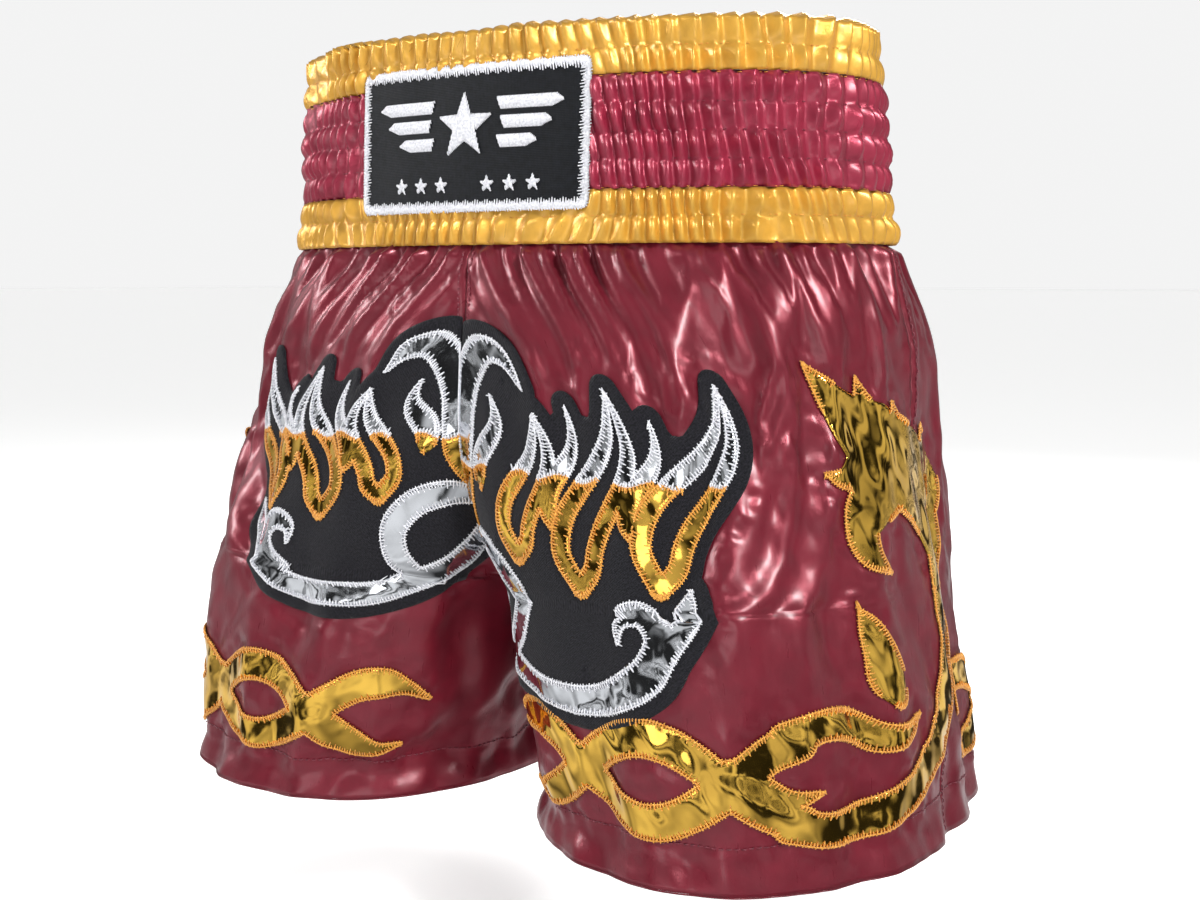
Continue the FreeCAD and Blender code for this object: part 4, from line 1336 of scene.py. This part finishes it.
def make_inside():
    """Two buttonholes edged with thread, and a blank size tag hung from the band."""
    shell = Shell()
    inner = -7.9 * MM
    for hand in (-1, 1):
        turn = np.linspace(0, 2 * np.pi, 130)[:-1]
        x, y = hand * 18 * MM + 5.5 * MM * np.cos(turn), 50 * MM + 1.3 * MM * np.sin(turn)
        share = np.array([0.0, 0.3, 0.7, 1.0])
        out = np.stack((np.cos(turn), np.sin(turn)), axis=1)[:, None] * (2.2 * MM * share)[None, :, None]
        path = np.stack((x, y), axis=1)[:, None] + out
        arch = np.array([0.3, -0.3, -0.3, 0.5]) * MM
        threads(shell, on_band, path, inner + arch, 0.3 * MM)
    holes = shell.dress("drawcord_buttonholes", "maroon_thread")
    placed(holes, ["drawcord_buttonholes"])
    low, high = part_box("size_tag")
    u, v = np.meshgrid(np.linspace(-1, 1, 25), np.linspace(0, 1, 25))
    x = u * high.x
    z = high.z + (low.z - high.z) * v
    y = high.y - 1.5 * MM - 2.5 * MM * u * u - 5 * MM * v * v + 0.8 * MM * np.sin(5 * v + 2 * u)
    face = np.stack((x, y, z), axis=2)
    shell = Shell()
    shell.sheet(face, face + [0, -0.5 * MM, 0], np.stack((x, z), axis=2))
    tag = shell.dress("size_tag", "tag_cloth")
    placed(tag, ["size_tag"])


def make_panels():
    """The panels: the settled cloth as its outer skin, and an inner skin a thickness behind it."""
    for name, side in SIDES.items():
        cloth_side = surface(side)
        for face, columns in (("front", slice(0, cloth_side.half + 1)),
                              ("back", slice(cloth_side.half, None))):
            outer = cloth_side.points[:, columns]
            inner = outer - cloth_side.normal[:, columns] * CLOTH
            place = np.stack((cloth_side.along, cloth_side.depth), axis=2)[:, columns]
            shell = Shell()
            shell.sheet(outer, inner, place)
            piece = shell.dress(f"{face}_panel_{name}", "maroon_satin")
            placed(piece, [f"{face}_panel_{name}_hip", f"{face}_panel_{name}_leg"], side)


def strip_inside(shell, side, along0, along1, drops, low, high, columns=5):
    """A narrow strip behind the cloth; its edges are given as distances along at each drop."""
    share = np.linspace(0, 1, columns)[None]
    along = along0[:, None] * (1 - share) + along1[:, None] * share
    drop = np.repeat(drops[:, None], columns, 1)
    outer, _ = on_cloth(side)(along, drop, np.full(along.shape, high))
    inner, _ = on_cloth(side)(along, drop, np.full(along.shape, low))
    shell.sheet(outer, inner, np.stack((along, drop), axis=2))


def topstitch(shell, side, along, drops, lift=0.25 * MM, slot=0):
    """A row of stitches on the cloth's face, through places given by along and drop."""
    line = np.stack((along, drops), axis=1)
    running_stitches(shell, on_cloth(side), line, 3.4 * MM, 2.6 * MM, lift, 0.3 * MM, slot)


def make_seams():
    """Folded allowances behind every seam, their rows of topstitching, and the gusset, whose
    width grows evenly towards the crotch."""
    low, high = -1.7 * MM, -0.95 * MM
    for face, sign in (("front", 1), ("back", -1)):
        shell = Shell()
        for side in (LEFT, RIGHT):
            cloth_side = surface(side)
            drops = np.linspace(BAND + 3 * MM, CROTCH - 3 * MM, 90)
            reach = np.interp(drops, cloth_side.drop,
                              cloth_side.reach_front if sign > 0 else cloth_side.reach_back)
            strip_inside(shell, side, sign * (reach - 8 * MM), sign * (reach - 0.8 * MM), drops, low, high)
            topstitch(shell, side, sign * (reach - 3.0 * MM), drops)
        seam = f"centre_{face}_seam"
        placed(shell.dress(seam, "maroon_thread"), [seam])
    for name, side in SIDES.items():
        cloth_side = surface(side)
        drops = np.linspace(BAND + 3 * MM, LENGTH - 2 * MM, 130)
        shell = Shell()
        flat = np.zeros_like(drops)
        strip_inside(shell, side, flat - 6 * MM, flat + 6 * MM, drops, low, high, 7)
        topstitch(shell, side, flat - 2.6 * MM, drops)
        placed(shell.dress(f"side_seam_{name}", "maroon_thread"),
               [f"side_seam_{name}_hip", f"side_seam_{name}_leg"], side)
        drops = np.linspace(CROTCH + 12 * MM, LENGTH - 2 * MM, 60)
        shell = Shell()
        for sign, reach in ((1, cloth_side.reach_front), (-1, cloth_side.reach_back)):
            edge = np.interp(drops, cloth_side.drop, reach)
            strip_inside(shell, side, sign * (edge - 7 * MM), sign * (edge - 0.6 * MM), drops, low, high)
            topstitch(shell, side, sign * (edge - 2.4 * MM), drops)
        inseam = f"inseam_{name}"
        placed(shell.dress(inseam, "maroon_thread"), [inseam], side)
        shell = Shell()
        drops = np.linspace(CROTCH - 30 * MM, CROTCH - 4 * MM, 24)
        for sign, reach in ((1, cloth_side.reach_front), (-1, cloth_side.reach_back)):
            edge = np.interp(drops, cloth_side.drop, reach)
            grow = (drops - drops[0]) / (drops[-1] - drops[0])
            strip_inside(shell, side, sign * (edge - 2 * MM - 40 * MM * grow), sign * (edge - 1 * MM),
                         drops, -2.6 * MM, -1.9 * MM, 14)
        placed(shell.dress(f"crotch_gusset_{name}", "maroon_satin"),
               ["crotch_gusset"], side)


def make_hems():
    """The leg's edge turned up inside, its rolled lower fold and its row of stitches."""
    for name, side in SIDES.items():
        cloth_side = surface(side)
        keep = cloth_side.drop >= LENGTH - HEM - 3 * MM
        points, normal = cloth_side.points[keep], cloth_side.normal[keep]
        place = np.stack((cloth_side.along, cloth_side.depth), axis=2)[keep]
        shell = Shell()
        shell.sheet(points - normal * 1.0 * MM, points - normal * 1.5 * MM, place)
        end, out = points[-1], normal[-1]
        turn = np.linspace(np.pi * 0.05, np.pi * 0.95, 8)
        roll = (end[None] - out[None] * (0.75 * MM * (1 - np.cos(turn)))[:, None, None]
                + np.array([0, 0, -1]) * (0.9 * MM * np.sin(turn))[:, None, None])
        inner = (end[None] - out[None] * (0.75 * MM - 0.3 * MM * np.cos(turn))[:, None, None]
                 + np.array([0, 0, -1]) * (0.4 * MM * np.sin(turn))[:, None, None])
        shell.sheet(roll, inner, np.repeat(place[-1:], 8, 0))
        reach_f, reach_b = cloth_side.reach_front[-1], cloth_side.reach_back[-1]
        along = np.linspace(reach_f - 2 * MM, -reach_b + 2 * MM, 600)
        topstitch(shell, side, along, np.full(600, LENGTH - HEM), 0.4 * MM, 1)
        piece = shell.dress(f"leg_hem_{name}", "maroon_satin", "maroon_thread")
        placed(piece, [f"leg_hem_{name}"], side)


# ---- the ornaments -------------------------------------------------------------------------------
FELT_LIFT = (0.1 * MM, 1.3 * MM)
FOIL_LIFT = (1.35 * MM, 1.8 * MM)
BARE_LIFT = (0.15 * MM, 0.8 * MM)
CELL_FOIL, CELL_FELT = 1.2 * MM, 1.5 * MM     # cells of the grids they are cut from


def emblem_line(side):
    """Drop of the line between the emblem's silver and its gold, a shallow wave."""
    split = EMBLEM_TOP + (SPLIT * MM - EMBLEM_TOP) * side_rise(side)
    return lambda along: split + 1.5 * MM * np.sin(along * 260)


def flame_line(along):
    """Drop of the line where the side flame meets the hem band."""
    return np.full_like(along, FLAME_JOIN * MM)


def foil_piece(name, side, strokes, lift, finish, edging, nodes, above=None, line=None, sewn=True):
    """Foil cut to a union of strokes and edged with satin stitches; above keeps the part over
    (True) or under (False) a dividing line, and sewn puts stitches along that line too."""
    def distance(along, drop):
        value = distance_to(strokes, along, drop)
        if above is None:
            return value
        gap = drop - line(along)
        return np.maximum(value, gap if above else -gap)

    shell = Shell()
    box = box_of(strokes)
    cut_out(shell, on_bed(side), distance, box, CELL_FOIL, *lift)
    for pitch, reach, along_edge in ((1.0 * MM, 1.3 * MM, True), (1.55 * MM, 2.3 * MM, False)):
        rim = outline(strokes, pitch)
        if above is not None and sewn:
            along = np.arange(box[0][0], box[0][1], pitch)
            rim = np.concatenate((rim, np.stack((along, line(along)), axis=1)))
        edge_stitches(shell, on_bed(side), rim, distance, lift[1], reach, 0.44 * MM, slot=1,
                      along_edge=along_edge)
    return placed(shell.dress(name, finish, edging), nodes, side)


def make_felt():
    """Felt under the front ornament, cut off where it reaches the centre seam."""
    for name, side in SIDES.items():
        wide, infill = felt_strokes(side)
        strokes = wide + infill

        def distance(along, drop):
            reach = np.interp(drop, surface(side).drop, surface(side).reach_front)
            return np.maximum(distance_to(strokes, along, drop), along - reach + 0.3 * MM)

        shell = Shell()
        box = box_of(strokes)
        area = cut_out(shell, on_bed(side), distance, box, CELL_FELT, *FELT_LIFT)
        piece = shell.dress(f"felt_backing_{name}", "black_felt")
        placed(piece, [f"felt_backing_{name}_hip", f"felt_backing_{name}_leg"], side)


def make_flames():
    """The front ornament's foil: silver over gold in the flames, and a silver scroll below."""
    for name, side in SIDES.items():
        rise = side_rise(side)
        emblem, scroll, line = drawn(EMBLEM, rise), drawn(SCROLL, rise), emblem_line(side)
        for what, strokes, metal, above in (("silver_flames", emblem, "silver", True),
                                            ("gold_flames", emblem, "gold", False),
                                            ("silver_scroll", scroll, "silver", None)):
            foil_piece(f"{what}_{name}", side, strokes, FOIL_LIFT, f"{metal}_foil", f"{metal}_thread",
                       [f"{what}_{name}"], above, line)


def make_hem_bands():
    """Hem ribbons and side flame, cut from one union of strokes where they meet, and teardrop."""
    joined = drawn(HEM_BAND + SIDE_FLAME)
    for name, side in SIDES.items():
        foil_piece(f"gold_hem_ribbons_{name}", side, joined, BARE_LIFT, "gold_foil", "gold_thread",
                   [f"gold_hem_ribbons_{name}"], above=False, line=flame_line, sewn=False)
        foil_piece(f"gold_side_flame_{name}", side, joined, BARE_LIFT, "gold_foil", "gold_thread",
                   [f"gold_side_flame_{name}_hip", f"gold_side_flame_{name}_leg"],
                   above=True, line=flame_line, sewn=False)
        foil_piece(f"gold_teardrop_{name}", side, drawn(TEARDROP), BARE_LIFT, "gold_foil",
                   "gold_thread", [f"gold_teardrop_{name}"])


# ---- floor, light and camera ---------------------------------------------------------------------
FLOOR = -0.47
FLOOR_REACH = 60                # metres to the floor's edge, so that it fades into the distance
LENS = 45.06                    # millimetres
CAMERA_ASIDE = math.radians(0.85)       # the camera looks this much past the middle
LIGHTS = (                      # name, place, size and power
    ("key", (1.5, -0.75, 0.95), 0.35, 29),
    ("left", (-1.5, -0.9, 0.55), 0.45, 16),
    ("fill", (0.5, -1.8, -0.15), 0.7, 4),
    ("rear", (-0.2, 1.4, 0.9), 0.5, 24),
)


def area_light(name, place, size, power, target=(0, 0, -0.2)):
    """A square lamp that faces the middle of the shorts."""
    data = bpy.data.lights.new(name, "AREA")
    data.size, data.energy = size, power
    light = bpy.data.objects.new(name, data)
    light.location = place
    aim = Vector(target) - Vector(place)
    light.rotation_euler = aim.to_track_quat("-Z", "Y").to_euler()
    bpy.context.scene.collection.objects.link(light)


def patches(tree, place, scale, target):
    """Dark and pale patches of noise, a made-up room that the foil mirrors; on the floor they are painted
    reflections.
    """
    noise = tree.nodes.new("ShaderNodeTexNoise")
    noise.inputs["Scale"].default_value = scale
    ramp = tree.nodes.new("ShaderNodeValToRGB")
    for spot, (position, grey) in zip(ramp.color_ramp.elements, ((0.44, 0.03), (0.58, 0.95))):
        spot.position = position
        spot.color = (grey, grey, grey, 1)
    tree.links.new(place, noise.inputs["Vector"])
    tree.links.new(noise.outputs["Fac"], ramp.inputs["Fac"])
    tree.links.new(ramp.outputs["Color"], target)


def make_floor():
    """A wide floor that glows a little for the camera, and glows with painted dark and pale patches for
    mirror rays, which the foil shows as painted reflections.
    """
    t = np.linspace(-1, 1, 9) * FLOOR_REACH
    x, y = np.meshgrid(t, t)
    face = np.stack((x, y, np.full_like(x, FLOOR)), axis=2)
    shell = Shell()
    shell.sheet(face, face - [0, 0, 10 * MM], np.stack((x, y), axis=2))
    floor = shell.build("floor", [woven("floor_paper", linear(238, 238, 237), linear(244, 244, 243),
                                        2.0 * MM, 0.8, 0.02, 0.0)])
    tree = floor.data.materials[0].node_tree
    shader = tree.nodes["Principled BSDF"]
    shader.inputs["Emission Color"].default_value = (1, 1, 1, 1)
    shader.inputs["Emission Strength"].default_value = 0.61
    # Painted reflection: for mirror rays the floor glows with dark and pale patches instead of its plain
    # white, though it is no lamp.
    dark = tree.nodes.new("ShaderNodeEmission")
    dark.inputs["Strength"].default_value = 1.0
    seen = tree.nodes.new("ShaderNodeLightPath")
    choose = tree.nodes.new("ShaderNodeMixShader")
    tree.links.new(seen.outputs["Is Glossy Ray"], choose.inputs["Fac"])
    tree.links.new(shader.outputs["BSDF"], choose.inputs[1])
    tree.links.new(dark.outputs["Emission"], choose.inputs[2])
    tree.links.new(choose.outputs["Shader"], tree.nodes["Material Output"].inputs["Surface"])
    patches(tree, tree.nodes.new("ShaderNodeNewGeometry").outputs["Position"], 3.0,
            dark.inputs["Color"])


def make_world(scene):
    """A pale backdrop for the camera, and patches of dark and pale for everything else."""
    world = bpy.data.worlds.new("studio")
    scene.world = world
    world.use_nodes = True
    tree = world.node_tree
    back = tree.nodes["Background"]
    seen = tree.nodes.new("ShaderNodeLightPath")
    choose = tree.nodes.new("ShaderNodeMix")
    choose.data_type = "RGBA"
    choose.inputs["B"].default_value = (1.2, 1.2, 1.2, 1)
    back.inputs["Strength"].default_value = 0.75
    scene.view_settings.view_transform = "Standard"
    patches(tree, tree.nodes.new("ShaderNodeTexCoord").outputs["Generated"], 2.6, choose.inputs["A"])
    tree.links.new(seen.outputs["Is Camera Ray"], choose.inputs["Factor"])
    tree.links.new(choose.outputs["Result"], back.inputs["Color"])


def make_camera(scene):
    """The camera stands on a circle round the shorts, where the panel's view settings put it."""
    lens = bpy.data.cameras.new("camera")
    lens.lens = LENS
    camera = bpy.data.objects.new("camera", lens)
    view = scene.shorts_view
    turn, away = view.azimuth, view.distance
    camera.location = (math.sin(turn) * away, -math.cos(turn) * away, view.height)
    camera.rotation_euler = (math.radians(90) - view.tilt, 0, turn - CAMERA_ASIDE)
    scene.collection.objects.link(camera)
    scene.camera = camera


def make_stage():
    """Floor, lights, world and camera, in that order."""
    make_floor()
    for lamp in LIGHTS:
        area_light(*lamp)
    make_world(bpy.context.scene)
    make_camera(bpy.context.scene)


# ---- the add-on ----------------------------------------------------------------------------------
def colour(name, description, default):
    """A colour that the panel shows."""
    return FloatVectorProperty(name=name, description=description, default=default, size=4,
                               subtype="COLOR", min=0.0, max=1.0)


class ShortsColours(PropertyGroup):
    maroon: colour("Maroon satin", "Colour of the body's satin", linear(126, 24, 45))
    # Painted light: a lighter copy of the maroon satin, for the band's middle strip.
    lit_maroon: colour("Rose satin", "Colour of the waistband's middle strip", linear(160, 42, 70))
    gold_satin: colour("Gold satin", "Colour of the waistband's edge strips", linear(218, 172, 68))
    gold_foil: colour("Gold foil", "Colour of the gold mirror foil", linear(226, 180, 78))
    silver_foil: colour("Silver foil", "Colour of the silver mirror foil", linear(214, 217, 222))


class ShortsView(PropertyGroup):
    azimuth: FloatProperty(name="Azimuth", description="Direction the camera stands in, from the front",
                           default=math.radians(33.5), subtype="ANGLE")
    tilt: FloatProperty(name="Tilt", description="How far the camera looks down",
                        default=math.radians(6.45), subtype="ANGLE")
    distance: FloatProperty(name="Distance", description="Distance of the camera from the middle",
                            default=0.814, unit="LENGTH")
    height: FloatProperty(name="Height", description="Height of the camera from the top edge",
                          default=-0.119, unit="LENGTH")


def finish_elastic():
    """Gives the frame's own elastic its woven finish."""
    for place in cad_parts["waistband_elastic"].material_slots:
        place.material = finishes()["elastic_webbing"]


class SHORTS_OT_cloth(Operator):
    """Lets the cloth hang from the elastic, and keeps it for the other pieces"""
    bl_idname = "shorts.cloth"
    bl_label = "Settle the Cloth"

    def execute(self, context):
        surface(LEFT)
        surface(RIGHT)
        return {"FINISHED"}


class SHORTS_OT_panels(Operator):
    """Front and back panels, gathered at the waistband"""
    bl_idname = "shorts.panels"
    bl_label = "Satin Panels"

    def execute(self, context):
        make_panels()
        return {"FINISHED"}


class SHORTS_OT_strips(Operator):
    """The three gathered satin strips of the waistband"""
    bl_idname = "shorts.strips"
    bl_label = "Waistband Strips"

    def execute(self, context):
        make_strips()
        return {"FINISHED"}


class SHORTS_OT_stitch_rows(Operator):
    """Rows of stitches that draw the waistband in"""
    bl_idname = "shorts.stitch_rows"
    bl_label = "Waistband Stitch Rows"

    def execute(self, context):
        make_stitch_rows()
        return {"FINISHED"}


class SHORTS_OT_lining(Operator):
    """Ruched lining, buttonholes and size tag inside the band"""
    bl_idname = "shorts.lining"
    bl_label = "Waistband Lining"

    def execute(self, context):
        make_lining()
        make_inside()
        return {"FINISHED"}


class SHORTS_OT_elastic(Operator):
    """Finish of the woven elastic, which keeps the frame's shape"""
    bl_idname = "shorts.elastic"
    bl_label = "Waistband Elastic"

    def execute(self, context):
        finish_elastic()
        return {"FINISHED"}


class SHORTS_OT_label(Operator):
    """Woven patch with a stitched border, a star and bars"""
    bl_idname = "shorts.label"
    bl_label = "Label"

    def execute(self, context):
        make_label()
        return {"FINISHED"}


class SHORTS_OT_seams(Operator):
    """Folded allowances, topstitching and the crotch gusset"""
    bl_idname = "shorts.seams"
    bl_label = "Seams and Gusset"

    def execute(self, context):
        make_seams()
        return {"FINISHED"}


class SHORTS_OT_hems(Operator):
    """Turned-up hems with their stitches"""
    bl_idname = "shorts.hems"
    bl_label = "Leg Hems"

    def execute(self, context):
        make_hems()
        return {"FINISHED"}


class SHORTS_OT_felt(Operator):
    """Black felt under the front ornament"""
    bl_idname = "shorts.felt"
    bl_label = "Felt Backing"

    def execute(self, context):
        make_felt()
        return {"FINISHED"}


class SHORTS_OT_flames(Operator):
    """Silver and gold foil flames and the silver scroll"""
    bl_idname = "shorts.flames"
    bl_label = "Foil Flames"

    def execute(self, context):
        make_flames()
        return {"FINISHED"}


class SHORTS_OT_hem_bands(Operator):
    """Gold bands over the hems, side flames and teardrops"""
    bl_idname = "shorts.hem_bands"
    bl_label = "Foil Hem Bands"

    def execute(self, context):
        make_hem_bands()
        return {"FINISHED"}


class SHORTS_OT_stage(Operator):
    """Floor, lights, world and camera"""
    bl_idname = "shorts.stage"
    bl_label = "Stage"

    def execute(self, context):
        make_stage()
        return {"FINISHED"}


OPERATORS = (
    SHORTS_OT_cloth, SHORTS_OT_panels, SHORTS_OT_strips, SHORTS_OT_stitch_rows, SHORTS_OT_lining,
    SHORTS_OT_elastic, SHORTS_OT_label, SHORTS_OT_seams, SHORTS_OT_hems, SHORTS_OT_felt,
    SHORTS_OT_flames, SHORTS_OT_hem_bands, SHORTS_OT_stage,
)


class SHORTS_PT_panel(Panel):
    """Lists the steps in order, with the colours and the view"""
    bl_idname = "SHORTS_PT_panel"
    bl_label = "Boxing Shorts"
    bl_space_type = "VIEW_3D"
    bl_region_type = "UI"
    bl_category = "Shorts"

    def draw(self, context):
        for settings in (context.scene.shorts_colours, context.scene.shorts_view):
            box = self.layout.box()
            for name in settings.__annotations__:
                box.prop(settings, name)
        for kind in OPERATORS:
            self.layout.operator(kind.bl_idname)


CLASSES = (ShortsColours, ShortsView) + OPERATORS + (SHORTS_PT_panel,)


def register():
    for kind in CLASSES:
        bpy.utils.register_class(kind)
    bpy.types.Scene.shorts_colours = PointerProperty(type=ShortsColours)
    bpy.types.Scene.shorts_view = PointerProperty(type=ShortsView)


def unregister():
    del bpy.types.Scene.shorts_view
    del bpy.types.Scene.shorts_colours
    for kind in reversed(CLASSES):
        bpy.utils.unregister_class(kind)


def main():
    register()
    for kind in OPERATORS:
        getattr(bpy.ops.shorts, kind.bl_idname.split(".")[1])()


if __name__ == "__main__":
    main()
